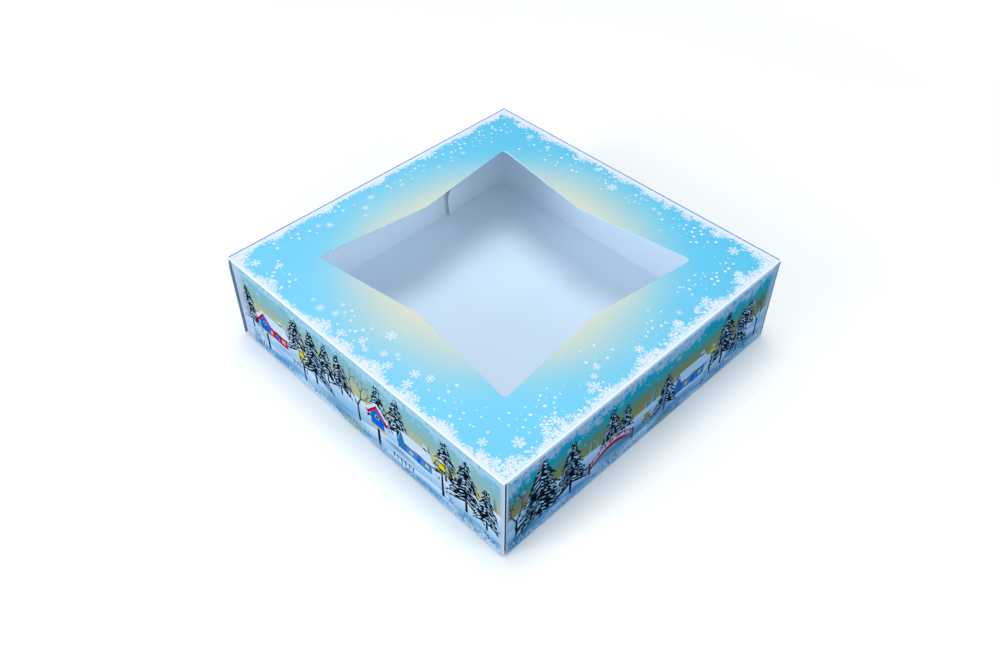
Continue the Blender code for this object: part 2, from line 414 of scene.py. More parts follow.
def panel(name, plane, body, materials, print_=None, windows=None):
    """A board of the frame's outline. The materials are those of the print, inside and edge.

    Windows take the place of the frame's own openings in the panel.
    """
    outline, *holes = plane.loops()
    shapes = print_.shapes if print_ else []
    points, kept, inks = printed_face(outline, windows or holes, shapes)

    used = {}
    for triangle in kept:
        for index in triangle:
            used.setdefault(index, len(used))
    places = [tuple(points[index]) for index in used]
    top = [[used[index] for index in triangle] for triangle in kept]
    borders = border_loops(side for triangle in top for side in around(triangle))
    below = {}
    for border in borders:
        for index in border:
            below.setdefault(index, len(places) + len(below))
    outermost = max(borders, key=lambda border: abs(area([places[index] for index in border])))
    verts = [plane.solid(place) for place in places]
    for index in below:
        place = places[index] if index in outermost else undercut(*places[index])
        verts.append(plane.solid(place, BOARD))

    under = inner_face(places, borders, below)
    sides = []
    for border in borders:
        for start, end in around(border):
            sides.append([start, below[start], below[end], end])

    mesh = bpy.data.meshes.new(name)
    mesh.from_pydata([tuple(point) for point in verts], [], top + under + sides)
    for material in materials:
        mesh.materials.append(material)
    slots = [0] * len(top) + [1] * len(under) + [2] * len(sides)
    mesh.polygons.foreach_set("material_index", slots)
    ink = mesh.color_attributes.new(INK, "FLOAT_COLOR", "CORNER")
    values = []
    for colour in inks:
        values += list(colour) * 3
    values += [0.0] * (4 * len(mesh.loops) - len(values))
    ink.data.foreach_set("color", values)
    lay_out(mesh, places, below, len(top), len(under), borders)
    piece = new_piece(name, mesh)
    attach(piece, body)
    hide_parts(plane.node)
    return piece


def undercut(u, v):
    """Where the window's cut edge meets the inside."""
    right = min(max(u - abs(v) + 1, 0), 1)
    back = min(max(v - abs(u) + 1, 0), 1)
    return u - LEAN_RIGHT * right, v + LEAN_BACK * back


def as_cut(loop):
    """A window's outline as it is cut in the photo, a little out of true."""
    moved = []
    for place in loop:
        turns = math.atan2(place[1], place[0]) / (math.pi / 4) % 8
        index = int(turns)
        share = turns - index
        shifts = zip(WINDOW_SHIFTS[index], WINDOW_SHIFTS[(index + 1) % 8])
        moved.append(tuple(
            value + before * (1 - share) + after * share
            for value, (before, after) in zip(place, shifts)
        ))
    return moved


def lay_out(mesh, places, below, top_count, under_count, borders):
    """Map the printed face over most of the square, and the inside and the edges below it."""
    lows, highs = [min(values) for values in zip(*places)], [max(values) for values in zip(*places)]

    def share(place):
        return [(value - low) / (high - low) for value, low, high in zip(place, lows, highs)]

    above = {number: index for index, number in below.items()}
    run = {}
    total = sum(len(border) for border in borders)
    for border in borders:
        for index in border:
            run[index] = len(run) / total
    values = []
    for number, face in enumerate(mesh.polygons):
        if number < top_count:
            for index in face.vertices:
                u, v = share(places[index])
                values += [0.004 + 0.992 * u, 0.13 + 0.866 * v]
        elif number < top_count + under_count:
            for index in face.vertices:
                u, v = share(places[above[index]])
                values += [0.004 + 0.992 * u, 0.004 + 0.09 * v]
        else:
            start = run[face.vertices[0]]
            end = start + 1 / total
            values += [start, 0.12, start, 0.105, end, 0.105, end, 0.12]
    mesh.uv_layers.new(name=PRINT_MAP).data.foreach_set("uv", values)


class Fold:
    """A fold line: its corner, the ways into its two panels, and its run along the corner.

    Each end of the run has three values: at the first panel, half way round, and at the second.
    """

    def __init__(self, corner, first, second, low, high):
        self.corner = Vector(corner) * MM
        self.first = first
        self.second = second
        self.along = first.cross(second)
        self.low = low if isinstance(low, tuple) else (low, low, low)
        self.high = high if isinstance(high, tuple) else (high, high, high)

    def point(self, a, b, run):
        """The point at a and b from the corner into the two panels."""
        share = 0.5 + 0.5 * (a - b) / CREASE_RADIUS
        share = 1 - min(max(share, 0.0), 1.0)
        before, half, after = run
        if share < 0.5:
            reach = before + (half - before) * share * 2
        else:
            reach = half + (after - half) * (share * 2 - 1)
        return self.corner + (self.first * a + self.second * b + self.along * reach) * MM


def fold_profile(depth, bead):
    """The section of the bent board: round outside, and inside flush or with a low bead."""
    radius = CREASE_RADIUS
    outside = []
    for step in range(CREASE_STEPS + 1):
        turn = math.pi / 2 * step / CREASE_STEPS
        outside.append((radius - radius * math.cos(turn), radius - radius * math.sin(turn)))
    if not bead:
        return outside, [(depth, radius), (depth, depth), (radius, depth)]
    skin, reach, crown = depth - SEAM, radius + BEAD_REACH, depth + BEAD_HEIGHT
    inside = [(skin, radius), (skin, reach), (crown - 0.1, radius + 0.1), (crown, crown)]
    inside += [(radius + 0.1, crown - 0.1), (reach, skin), (radius, skin)]
    return outside, inside


def crease(name, fold, depth, bead, materials):
    """The board bent round a fold. The materials are those of the outside and the inside."""
    outside, inside = fold_profile(depth, bead)
    profile = outside + inside[::-1]
    verts, faces = [], []
    for run in (fold.low, fold.high):
        verts += [tuple(fold.point(a, b, run)) for a, b in profile]
    count = len(profile)
    for index in range(count):
        following = (index + 1) % count
        faces.append([index, following, count + following, count + index])
    faces.append(list(range(count - 1, -1, -1)))
    faces.append(list(range(count, 2 * count)))
    mesh = bpy.data.meshes.new(name)
    mesh.from_pydata(verts, [], faces)
    for material in materials:
        mesh.materials.append(material)
    slots = [0] * (len(outside) - 1) + [1] * (count - len(outside) + 3)
    mesh.polygons.foreach_set("material_index", slots)
    mesh.polygons.foreach_set("use_smooth", [True] * count + [False] * 2)
    mesh.set_sharp_from_angle(angle=math.radians(50))
    return new_piece(name, mesh)


# Materials


class Nodes:
    """A short way to write a node tree."""

    def __init__(self, name):
        self.material = bpy.data.materials.new(name)
        self.material.use_nodes = True
        self.tree = self.material.node_tree
        self.shader = self.tree.nodes["Principled BSDF"]

    def add(self, kind, inputs=None, **settings):
        node = self.tree.nodes.new(kind)
        for key, value in settings.items():
            setattr(node, key, value)
        for key, value in (inputs or {}).items():
            if isinstance(value, bpy.types.NodeSocket):
                self.tree.links.new(value, node.inputs[key])
            else:
                node.inputs[key].default_value = value
        return node

    def set(self, key, value):
        if isinstance(value, bpy.types.NodeSocket):
            self.tree.links.new(value, self.shader.inputs[key])
        else:
            self.shader.inputs[key].default_value = value

    def maths(self, operation, first, second=0.0, clamp=False):
        node = self.add("ShaderNodeMath", {0: first, 1: second}, operation=operation)
        node.use_clamp = clamp
        return node.outputs[0]

    def place(self):
        return self.add("ShaderNodeTexCoord").outputs["Object"]

    def noise(self, scale, detail=3.0, place=None, roughness=0.5):
        inputs = {"Vector": place or self.place(), "Scale": scale, "Detail": detail}
        inputs["Roughness"] = roughness
        return self.add("ShaderNodeTexNoise", inputs).outputs["Fac"]

    def ramp(self, factor, stops, smooth=True):
        node = self.add("ShaderNodeValToRGB", {0: factor})
        ramp = node.color_ramp
        ramp.interpolation = "EASE" if smooth else "LINEAR"
        while len(ramp.elements) < len(stops):
            ramp.elements.new(0.5)
        for element, (position, colour) in zip(ramp.elements, stops):
            element.position = position
            element.color = (*colour, 1.0)
        return node.outputs[0]

    def mix(self, factor, first, second, mode="MIX"):
        node = self.tree.nodes.new("ShaderNodeMix")
        node.data_type = "RGBA"
        node.blend_type = mode
        for index, value in ((0, factor), (6, first), (7, second)):
            if isinstance(value, bpy.types.NodeSocket):
                self.tree.links.new(value, node.inputs[index])
            elif index == 0:
                node.inputs[index].default_value = value
            else:
                node.inputs[index].default_value = (*value, 1.0)
        return node.outputs[2]

    def span(self, factor, low, high):
        """A factor around the middle of noise, stretched between two values."""
        inputs = {"Value": factor, "From Min": 0.3, "From Max": 0.7, "To Min": low, "To Max": high}
        return self.add("ShaderNodeMapRange", inputs).outputs[0]

    def bump(self, height, strength, distance):
        inputs = {"Height": height, "Strength": strength, "Distance": distance}
        self.set("Normal", self.add("ShaderNodeBump", inputs).outputs[0])


# The lid's ground at distances from its middle in millimetres
LID_GROUND = (
    (0, (0.60, 0.62, 0.505)), (68, (0.60, 0.61, 0.505)), (78, (0.505, 0.59, 0.54)),
    (86, (0.415, 0.57, 0.59)), (94, (0.32, 0.56, 0.645)), (103, (0.24, 0.55, 0.70)),
    (114, (0.187, 0.547, 0.75)), (140, (0.167, 0.532, 0.735)),
)
LID_RIGHT = (0.61, 0.885, 0.935)
FROST = (0.675, 0.71, 0.80)
FROST_COVER = 0.92
CYAN = (0.20, 0.547, 0.74)
SIDE_GLOSS = 0.002
# Where the ears' print turns the corner and painted shade starts, and where their bare board starts
EAR_TURN = 112.9
EAR_BOARD = -111.5
# The back wall's inside carries painted shade beyond this distance from the middle
MARGIN_START = 112.3


def paper_grain(nodes, colour, strength=0.05):
    """Fine mottling of ink on board, and the board's own tooth."""
    fine = nodes.span(nodes.noise(2600, 2), 1 - strength, 1 + strength)
    broad = nodes.span(nodes.noise(18, 4), 1 - strength / 2, 1 + strength / 2)
    level = nodes.maths("MULTIPLY", fine, broad)
    grey = nodes.add("ShaderNodeCombineColor", {0: level, 1: level, 2: level}).outputs[0]
    return nodes.mix(1.0, colour, grey, "MULTIPLY")


def varnished(nodes, colour, gloss=0.05):
    """The satin finish of printed board."""
    nodes.set("Base Color", paper_grain(nodes, colour, 0.03))
    nodes.set("Roughness", nodes.span(nodes.noise(900, 3), 0.4, 0.52))
    nodes.set("Specular IOR Level", gloss)
    nodes.bump(nodes.noise(1500, 3), 0.08, 0.0001)
    return nodes.material


def with_ink(nodes, ground):
    ink = nodes.add("ShaderNodeVertexColor", layer_name=INK)
    return nodes.mix(ink.outputs["Alpha"], ground, ink.outputs["Color"])


def lid_material():
    """Cyan, deeper to the right, with a pale warm glow round the middle."""
    nodes = Nodes("lid_print")
    place = nodes.place()
    flat = nodes.add("ShaderNodeVectorMath", {0: place, 1: (1, 1, 0)}, operation="MULTIPLY")
    radius = nodes.add("ShaderNodeVectorMath", {0: flat.outputs[0]}, operation="LENGTH")
    wander = nodes.span(nodes.noise(14, 2), -0.003, 0.003)
    reach = nodes.maths("ADD", radius.outputs["Value"], wander)
    widest = 160
    stops = [(distance / widest, colour) for distance, colour in LID_GROUND]
    ground = nodes.ramp(nodes.maths("DIVIDE", reach, widest * MM), stops, smooth=False)
    across = nodes.add("ShaderNodeSeparateXYZ", {0: place}).outputs["X"]
    # The deepening runs from the left edge to the right, and from 70 mm out to 110 mm
    side = nodes.maths("ADD", nodes.maths("MULTIPLY", across, 4.3), 0.5, clamp=True)
    outer = nodes.maths("SUBTRACT", nodes.maths("MULTIPLY", reach, 25), 1.75, clamp=True)
    ground = nodes.mix(nodes.maths("MULTIPLY", side, outer), ground, LID_RIGHT, "MULTIPLY")
    return varnished(nodes, with_ink(nodes, ground))


def side_material(name, stops):
    """A winter sky that pales to ochre at the horizon."""
    nodes = Nodes(name)
    height = nodes.add("ShaderNodeSeparateXYZ", {0: nodes.place()}).outputs["Z"]
    drift = nodes.span(nodes.noise(40, 3), -0.0015, 0.0015)
    share = nodes.maths("DIVIDE", nodes.maths("ADD", height, drift), TOP * MM)
    ground = nodes.ramp(share, stops, smooth=False)
    return varnished(nodes, with_ink(nodes, ground), gloss=SIDE_GLOSS)


def board_material(name, colour, roughness=0.75):
    """Bare white board: faint fibres, with a soft tooth."""
    nodes = Nodes(name)
    nodes.set("Base Color", paper_grain(nodes, colour, 0.02))
    nodes.set("Roughness", nodes.span(nodes.noise(700, 3), roughness - 0.06, roughness + 0.06))
    nodes.set("Specular IOR Level", 0.3)
    nodes.bump(nodes.noise(700, 4), 0.06, 0.0001)
    return nodes.material


def edge_material(name, dull, bright):
    """The cut edge of the board, with its plies."""
    nodes = Nodes(name)
    plies = nodes.noise(4200, 2)
    nodes.set("Base Color", nodes.mix(plies, dull, bright))
    nodes.set("Roughness", nodes.span(nodes.noise(1600, 2), 0.75, 0.9))
    nodes.bump(plies, 0.3, 0.0001)
    return nodes.material


def crease_material(name, dull, bright):
    """The outer side along a fold in the given colours, scuffed a little where the ink has cracked."""
    nodes = Nodes(name)
    scuff = nodes.noise(3000, 4)
    colour = nodes.mix(nodes.span(scuff, 0.0, 1.0), dull, bright)
    nodes.set("Base Color", colour)
    nodes.set("Roughness", nodes.span(nodes.noise(1200, 3), 0.42, 0.6))
    nodes.bump(scuff, 0.2, 0.0001)
    return nodes.material


def ear_material():
    """White board that the front picture's bleed runs on to, with painted shade deepest where it turns
    the corner.
    """
    nodes = Nodes("ear_print_and_shade")
    place = nodes.add("ShaderNodeSeparateXYZ", {0: nodes.place()}).outputs
    across = nodes.maths("ABSOLUTE", place["X"])
    past_turn = nodes.maths("SUBTRACT", across, EAR_TURN * MM)
    slit_shade_share = nodes.maths("DIVIDE", past_turn, 0.5 * MM, clamp=True)
    past_print = nodes.maths("SUBTRACT", place["Y"], EAR_BOARD * MM)
    beyond = nodes.maths("DIVIDE", past_print, 3 * MM, clamp=True)
    scuff = nodes.noise(2400, 3)
    near = nodes.mix(scuff, (0.34, 0.50, 0.66), (0.44, 0.60, 0.76))
    # Painted shade in the slit at each front corner, laid over the print's bleed
    deep = nodes.mix(scuff, (0.015, 0.035, 0.06), (0.03, 0.06, 0.10))
    board = nodes.mix(scuff, (0.72, 0.80, 0.90), (0.78, 0.86, 0.94))
    colour = nodes.mix(beyond, nodes.mix(slit_shade_share, near, deep), board)
    nodes.set("Base Color", colour)
    nodes.set("Roughness", nodes.span(nodes.noise(1200, 3), 0.42, 0.6))
    nodes.set("Specular IOR Level", 0.1)
    nodes.bump(scuff, 0.12, 0.0001)
    return nodes.material


def shaded_margin_material(colour):
    """White board with painted shade beyond the tray's side walls, where it shows from outside."""
    nodes = Nodes("back_wall_inside")
    across = nodes.add("ShaderNodeSeparateXYZ", {0: nodes.place()}).outputs["X"]
    out = nodes.maths("SUBTRACT", nodes.maths("ABSOLUTE", across), MARGIN_START * MM)
    margin = nodes.maths("DIVIDE", out, 0.4 * MM, clamp=True)
    # Painted shade for the deep narrow gap behind the side flaps' rear ends
    margin_shade = nodes.mix(nodes.noise(2400, 3), (0.20, 0.34, 0.50), (0.28, 0.42, 0.60))
    nodes.set("Base Color", nodes.mix(margin, paper_grain(nodes, colour, 0.02), margin_shade))
    nodes.set("Roughness", nodes.span(nodes.noise(700, 3), 0.7, 0.8))
    nodes.set("Specular IOR Level", 0.3)
    nodes.bump(nodes.noise(700, 4), 0.06, 0.0001)
    return nodes.material


def film_material():
    """Clear film with a faint veil, and ripples that only its gloss shows."""
    nodes = Nodes("clear_film")
    nodes.set("Base Color", nodes.mix(nodes.noise(30, 2), linear(236, 244, 255), linear(250, 253, 255)))
    nodes.set("Roughness", 0.06)
    nodes.set("Alpha", nodes.span(nodes.noise(9, 2), 0.03, 0.06))
    nodes.bump(nodes.noise(22, 1), 0.15, 0.002)
    return nodes.material


# What is printed on the lid


def border(outline):
    """A straight border: its ends, its direction, the way inward and that way's angle."""
    start, end = Vector(outline[0]), Vector(outline[1])
    along = (end - start).normalized()
    inward = Vector((-along.y, along.x))
    return start, end, along, inward, math.atan2(inward.y, inward.x)


def fringe(art, outline, grow, length, step, ink, cover):
    """Ice needles along a straight border, leaning either way, with bigger sprays now and then."""
    start, end, along, inward, heading = border(outline)
    total = (end - start).length
    phase = art.random.uniform(0, 6)
    travel = 0.0
    while travel < total:
        swell = 0.5 + 0.5 * math.sin(travel * 0.21 + phase) * math.sin(travel * 0.083 + 2 * phase)
        reach = length[0] + (length[1] - length[0]) * swell ** 2 * art.random.uniform(0.5, 1.1)
        root = start + along * travel + inward * art.random.uniform(*grow)
        lean = art.random.gauss(0, 0.55)
        pairs = 2 if reach < 3 else 3 if reach < 5 else 4
        art.lay(needle(tuple(root), heading + lean, reach, 0.16, pairs), ink, cover)
        travel += step * art.random.uniform(0.6, 1.4)


def drift_of_flakes(art, outline, shallow, deep, heaps, step, gaps):
    """Flakes and dots crowded along a border, deepest and largest where they heap up."""
    chance = art.random
    start, end, along, inward, heading = border(outline)
    total = (end - start).length
    travel = 0.0
    while travel < total:
        heap = 0.0
        for middle, width in heaps:
            heap = max(heap, math.exp(-(((travel - middle) / width) ** 2)))
        reach = shallow + (deep - shallow) * heap
        for share in (0.1, chance.uniform(0.35, 1.0)):
            shift = chance.uniform(-0.5, 0.5) * step
            place = start + along * (travel + shift) + inward * (0.4 + reach * share)
            radius = (1.8 + 2.1 * heap) * (1.2 - 0.5 * share) * chance.uniform(0.8, 1.25)
            kind = chance.choice((0, 2, 1) if radius > 2.0 else (1, 1, 3))
            art.lay(flake(tuple(place), radius, chance.uniform(0, 1), kind), FROST, FROST_COVER)
        root = start + along * travel + inward * reach * chance.uniform(0.0, 0.35)
        length = (1.8 + 4.4 * heap) * chance.uniform(0.7, 1.2)
        lean = heading + chance.gauss(0, 0.6)
        art.lay(needle(tuple(root), lean, length, 0.2, 4), FROST, FROST_COVER)
        for _ in range(gaps):
            out = 1.5 + (reach - 1.5) * chance.uniform(0.0, 0.9)
            place = start + along * (travel + chance.uniform(-1, 1) * step) + inward * out
            lean = heading + chance.gauss(0, 0.7)
            tip = reached(place, chance.uniform(1.0, 2.4), lean)
            art.lay(leaf(tuple(place), tip, chance.uniform(0.5, 0.8)), CYAN, 0.85)
        for _ in range(2):
            out = reach * chance.uniform(0.4, 1.5) + 0.8
            place = start + along * (travel + chance.uniform(-1, 1) * step) + inward * out
            art.lay(disc(tuple(place), chance.choice((0.25, 0.35, 0.5, 0.7)), 8), FROST, FROST_COVER)
        travel += step * chance.uniform(0.7, 1.3)


def band(outline, depth, extra=0.5):
    """A straight strip inside a border line."""
    start, end, along, inward, _ = border(outline)
    corners = (
        start - along * extra - inward * extra, end + along * extra - inward * extra,
        end + along * extra + inward * depth, start - along * extra + inward * depth,
    )
    return [tuple(corner) for corner in corners]


# Heaps of frost along each border: how far along it, and how wide
FRONT_HEAPS = ((8, 7), (42, 9), (74, 8), (112, 9), (140, 6), (166, 9), (200, 8), (223, 8))
RIGHT_HEAPS = ((10, 9), (40, 7), (62, 5), (92, 8), (118, 6), (150, 6), (180, 8), (205, 7), (224, 6))
BACK_HEAPS = ((14, 6), (40, 6), (78, 5), (120, 7), (160, 5), (196, 6), (222, 6))
LEFT_HEAPS = ((8, 6), (36, 6), (84, 8), (104, 6), (128, 8), (156, 6), (184, 6), (214, 9))

# The larger flakes: their place, radius and kind
LID_FLAKES = (
    (-88.5, -2.5, 3.9, 0), (-98, -32.5, 3.4, 0), (-105.5, -35, 3.6, 2), (-94.5, -40.5, 2.8, 1),
    (-92, 35, 1.8, 3), (-99, 32.5, 2.3, 1), (-95, 29.5, 1.6, 3), (-106.5, 18.5, 3.2, 0),
    (-102.5, 5.5, 2.6, 2), (-105, -0.5, 2.2, 1), (-100, -10, 2.6, 0), (-95.5, -15.5, 2.0, 3),
    (-97, -18.5, 1.5, 3), (-104, -18, 3.1, 2), (-102.5, 42, 2.6, 1), (-101, 50, 2.0, 3),
    (-97.5, 87, 2.6, 0), (-106, 98.5, 3.4, 2), (-92, -102, 4.0, 2), (-104.5, -89.5, 3.0, 0),
    (-103, -107, 3.2, 1), (-1, -103, 3.2, 0), (29, -105, 3.3, 1), (36.5, -100.5, 2.2, 3),
    (-33, -99, 2.4, 0), (-27, -95.5, 2.3, 1), (-39, -101, 2.2, 3), (101.5, -90.5, 4.0, 0),
    (98, 1, 3.9, 2), (99.5, -32, 2.0, 3), (98.5, -37, 1.9, 3), (107, -36, 3.6, 0),
    (-53.5, 96.5, 2.6, 1), (-27, 94.5, 2.4, 0), (-59, 100.5, 2.0, 3), (-18, 100.5, 2.5, 1),
    (-32, 88.5, 1.7, 3), (4.5, 97, 1.9, 3), (56.5, 95, 2.1, 3), (34.5, 94.5, 1.8, 3),
    (102, 77, 3.0, 0), (101, 60, 2.2, 1), (106, 20, 2.6, 2), (108, -64, 3.0, 1),
)

# The painted shade of the faint line pressed beside each fold, and painted shade in blue along the far
# folds, where they turn away from the light
SCORE_SHARE = 0.998
FAR_FOLD_SHADE = (0.10, 0.235, 0.52)
FAR_FOLD_SHADE_WIDTH = 0.62
# Small bare spots beside the window's edge
NICKS = ((67.1, 77.0), (12.6, 70.2), (-6.1, 70.3), (-65.4, 77.0), (61.4, -75.9), (-62.8, -75.9))

# Clusters of dots: their place and how many dots they have
DOT_SPACING = 3.2
LID_DOTS = (
    (97, 97, 9), (104, 86, 4), (88, 104, 5),
    (-85, 104, 10), (-72, 99, 6), (-103, 84, 8), (-104, 72, 7), (-100, 22, 8), (-99, 8, 8),
    (-100, -52, 10), (-98, -66, 8), (-96, -80, 7), (-82, -96, 13), (-62, -95, 14), (-66, -103, 7),
    (-28, -90, 4), (-14, -90, 3), (12, -101, 8), (22, -96, 6), (56, -93, 7), (68, -97, 13),
    (84, -95, 10), (99, -50, 8), (100, -62, 10), (97, -76, 7), (99, -18, 8), (101, 12, 10),
    (98, 45, 8), (101, 33, 8), (99, 68, 8), (86, 101, 11), (72, 98, 10), (20, 101, 11),
    (2, 104, 7), (44, 103, 8), (-40, 103, 6), (60, 104, 7),
)


def lid_print(low, high):
    """Frost on all four sides, richest at the front, and flakes blown towards the window."""
    art = Print(seed=11)
    front, right = ((low, low), (high, low)), ((high, low), (high, high))
    back, left = ((high, high), (low, high)), ((low, high), (low, low))
    near, far = (0.8, (0.3, 1.3), (1.8, 4.6), 2.1, 6), (3.4, (2.6, 3.6), (1.0, 2.6), 1.6, 1)
    drifts = (
        (front, 3.0, 11.0, FRONT_HEAPS, 3.5, near), (right, 3.6, 7.5, RIGHT_HEAPS, 3.0, far),
        (back, 3.4, 5.2, BACK_HEAPS, 2.6, far), (left, 1.6, 6.4, LEFT_HEAPS, 3.7, near),
    )
    for outline, shallow, deep, heaps, step, (solid, grow, length, gap, gaps) in drifts:
        art.lay(band(outline, solid), FROST)
        fringe(art, outline, grow, length, gap, FROST, 0.9)
        drift_of_flakes(art, outline, shallow, deep, heaps, step, gaps)
        # Painted shade in the score pressed beside each fold
        score = [(u * SCORE_SHARE, v * SCORE_SHARE) for u, v in outline]
        art.lay(band(score, 0.28, 0.0), SNOW_SHADE, 0.35)
    # Painted shade along the far borders, where the folds turn away from the light
    for outline in (right, back):
        art.lay(band(outline, FAR_FOLD_SHADE_WIDTH, 0.0), FAR_FOLD_SHADE)
    for nick in NICKS:
        art.lay(disc(nick, 0.55, 8), FROST, 0.6)
    for u, v, radius, kind in LID_FLAKES:
        cover = 0.62 if kind == 3 else 0.9
        art.lay(flake((u, v), radius, art.random.uniform(0, 1), kind), FROST, cover)
    for u, v, count in LID_DOTS:
        laid = []
        for _ in range(count):
            for _ in range(12):
                place = (u + art.random.gauss(0, 5.0), v + art.random.gauss(0, 4.0))
                if all(math.dist(place, other) > DOT_SPACING for other in laid):
                    break
            laid.append(place)
            art.lay(disc(place, art.random.choice((0.4, 0.6, 0.75, 0.95))), FROST, 0.95)
    return art


# What is printed on the sides

SNOW = (0.78, 0.87, 0.97)
RIME = (0.54, 0.73, 0.84)
BRIGHT_FROST = (1.15, 1.05, 1.04)
# Painted highlight where the board turns over a fold
TURN_HIGHLIGHT = (1.4, 1.28, 1.28)
SNOW_SHADE = linear(96, 180, 220)
SNOW_DEEP = linear(64, 150, 204)
FIR_DARKS = (linear(4, 18, 30), linear(8, 38, 50), linear(2, 8, 14), linear(20, 74, 86))
FIR_SNOWS = (linear(206, 226, 242), linear(150, 190, 214), linear(236, 246, 255))
FIR_FAR = linear(98, 138, 150)
BARK = linear(74, 54, 54)
BARK_DARK = linear(42, 34, 42)
WALLS = (linear(232, 12, 30), linear(252, 204, 40), linear(70, 156, 228))
ROOF_EDGE = linear(150, 10, 24)
PANE = linear(255, 226, 20)
DOOR = linear(0, 112, 226)
TIMBER = linear(120, 44, 34)
TEAL = linear(30, 138, 172)
TEAL_DEEP = linear(20, 96, 140)
OCHRE = linear(206, 188, 96)
WATER = linear(98, 178, 214)


class Scaled:
    """A place and a size, from which points are given as shares of the size."""

    def __init__(self, place, size):
        self.place = place
        self.size = size

    def at(self, a, b):
        return (self.place[0] + a * self.size, self.place[1] + b * self.size)

    def line(self, *points):
        return [self.at(a, b) for a, b in points]

    def box(self, left, bottom, right, top):
        return box(*self.at(left, bottom), *self.at(right, top))


def blob(place, reach, flatness, steps, ripple):
    """A flattened round patch whose edge ripples by two shares of its reach."""
    outline = []
    for step in range(steps):
        angle = 2 * math.pi * step / steps
        wave = ripple[0] * math.sin(3 * angle + place[0]) + ripple[1] * math.sin(5 * angle)
        out = reach * (1 + wave)
        outline.append((place[0] + out * math.cos(angle), place[1] + flatness * out * math.sin(angle)))
    return outline


def smooth_line(points, step=3.0):
    """A line through given points, eased between them."""
    line = []
    for (u0, v0), (u1, v1) in zip(points, points[1:]):
        count = max(2, int((u1 - u0) / step))
        for index in range(count):
            share = index / count
            ease = share * share * (3 - 2 * share)
            line.append((u0 + (u1 - u0) * share, v0 + (v1 - v0) * ease))
    line.append(points[-1])
    return line


def hill(art, crest, ink, shade, depth=14.0):
    """Snow from a crest down to the lower edge, bluer the lower it lies."""
    line = smooth_line(crest)
    foot = [(line[-1][0], -3.0), (line[0][0], -3.0)]
    art.lay((line + foot)[::-1], ink)
    layers = 7
    for layer in range(1, layers + 1):
        drop = depth * layer / layers
        lower = [(u, max(v - drop - 0.06 * abs(v), -2.5)) for u, v in line]
        art.lay((lower + foot)[::-1], shade, 0.15)


def fir(art, place, height):
    """A broad fir with its foot at a place: drooping boughs, each with snow along its top."""
    chance = art.random
    here = Scaled(place, height)
    art.lay(stick(here.at(0, -0.06), here.at(0, 0.3), 0.05 * height, 0.04 * height), BARK_DARK)
    art.lay(stick(here.at(0, 0.16), here.at(0, 1.02), 0.24 * height, 0.008 * height), FIR_DARKS[0])
    spacing = 1.7 + 0.03 * height
    rows = int(0.93 * height / spacing)
    for row in range(rows, -1, -1):
        share = (row + 0.4) / rows
        level = place[1] + height * (1 - 0.9 * share)
        width = height * 0.36 * min(share, 1.0) ** 0.85
        for side in (-1, 1):
            hub_level = level + 0.3 * width + 0.4 * spacing
            hub = (place[0] + chance.uniform(-0.3, 0.3) * spacing, hub_level)
            reach = width * chance.uniform(0.8, 1.12)
            droop = 0.42 * reach + chance.uniform(0, 0.6) * spacing
            end = (hub[0] + side * reach, hub[1] - droop)
            art.lay(leaf(hub, end, 1.05 * spacing), chance.choice(FIR_DARKS[:3]))
            bough(art, hub, end, side, reach, spacing)
    for _ in range(int(1.4 * height)):
        share = math.sqrt(chance.uniform(0.02, 0.95))
        side = chance.uniform(-1, 1)
        dab = here.at(side * 0.3 * share, 1 - 0.82 * share - 0.1 * abs(side))
        length = chance.uniform(1.1, 2.3)
        slope = length if side > 0 else -length
        end = (dab[0] + slope, dab[1] - length * chance.uniform(0.3, 0.8))
        art.lay(leaf(dab, end, chance.uniform(0.5, 0.85)), chance.choice(FIR_SNOWS), 0.9)


def bough(art, hub, end, side, reach, spacing):
    """What a fir's bough carries: tufts that hang from it, and snow along its top."""
    chance = art.random
    tufts = 1 + int(reach / (1.2 * spacing))
    for tuft in range(tufts):
        root = between(hub, end, (tuft + chance.uniform(0.3, 1.0)) / tufts)
        lean = side * chance.uniform(0.3, 0.9)
        length = spacing * chance.uniform(0.7, 1.3)
        tuft_end = (root[0] + length * math.sin(lean), root[1] - length * math.cos(lean))
        art.lay(leaf(root, tuft_end, 0.4 * spacing), chance.choice(FIR_DARKS))
    loads = 1 + int(reach / (2.8 * spacing))
    for load in range(loads):
        first = (load + chance.uniform(-0.1, 0.3)) / loads
        last = min(first + chance.uniform(0.4, 0.75) / loads, 1.02)
        snow_start = between(hub, end, first, 0.3 * spacing)
        snow_end = between(hub, end, last, 0.12 * spacing)
        ink = chance.choice(FIR_SNOWS)
        art.lay(leaf(snow_start, snow_end, spacing * chance.uniform(0.3, 0.44)), ink, 0.95)


def far_fir(art, place, height):
    """A small fir on the horizon, half lost in the haze."""
    here = Scaled(place, height)
    for tier in range(4):
        width, level = 0.34 - 0.07 * tier, 0.22 * tier
        peak = (0, level + 0.36)
        art.lay(here.line((-width, level), (width, level), peak), FIR_FAR, 0.85)
        cap = here.line((-width * 0.8, level + 0.1), (-width * 0.1, level), peak)
        art.lay(cap, FIR_SNOWS[0], 0.7)


def bare_tree(art, place, height, angle=math.pi / 2, width=None, order=0):
    """A leafless tree that forks five times, with snow on its upper sides."""
    width = width or height * 0.075
    end = reached(place, height * (0.34 if order else 0.4), angle)
    art.lay(stick(place, end, width, width * 0.7), BARK if order % 2 else BARK_DARK)
    if order < 3:
        lift = width * 0.35
        start_snow = (place[0] - lift, place[1] + lift * 0.4)
        end_snow = (end[0] - lift * 0.7, end[1] + lift * 0.4)
        art.lay(stick(start_snow, end_snow, width * 0.3, width * 0.2), FIR_SNOWS[1])
    if order >= 5:
        return
    for side in (-1, 1):
        turn = angle + side * art.random.uniform(0.25, 0.62)
        shorter = height * art.random.uniform(0.66, 0.84)
        bare_tree(art, end, shorter, turn, width * 0.64, order + 1)


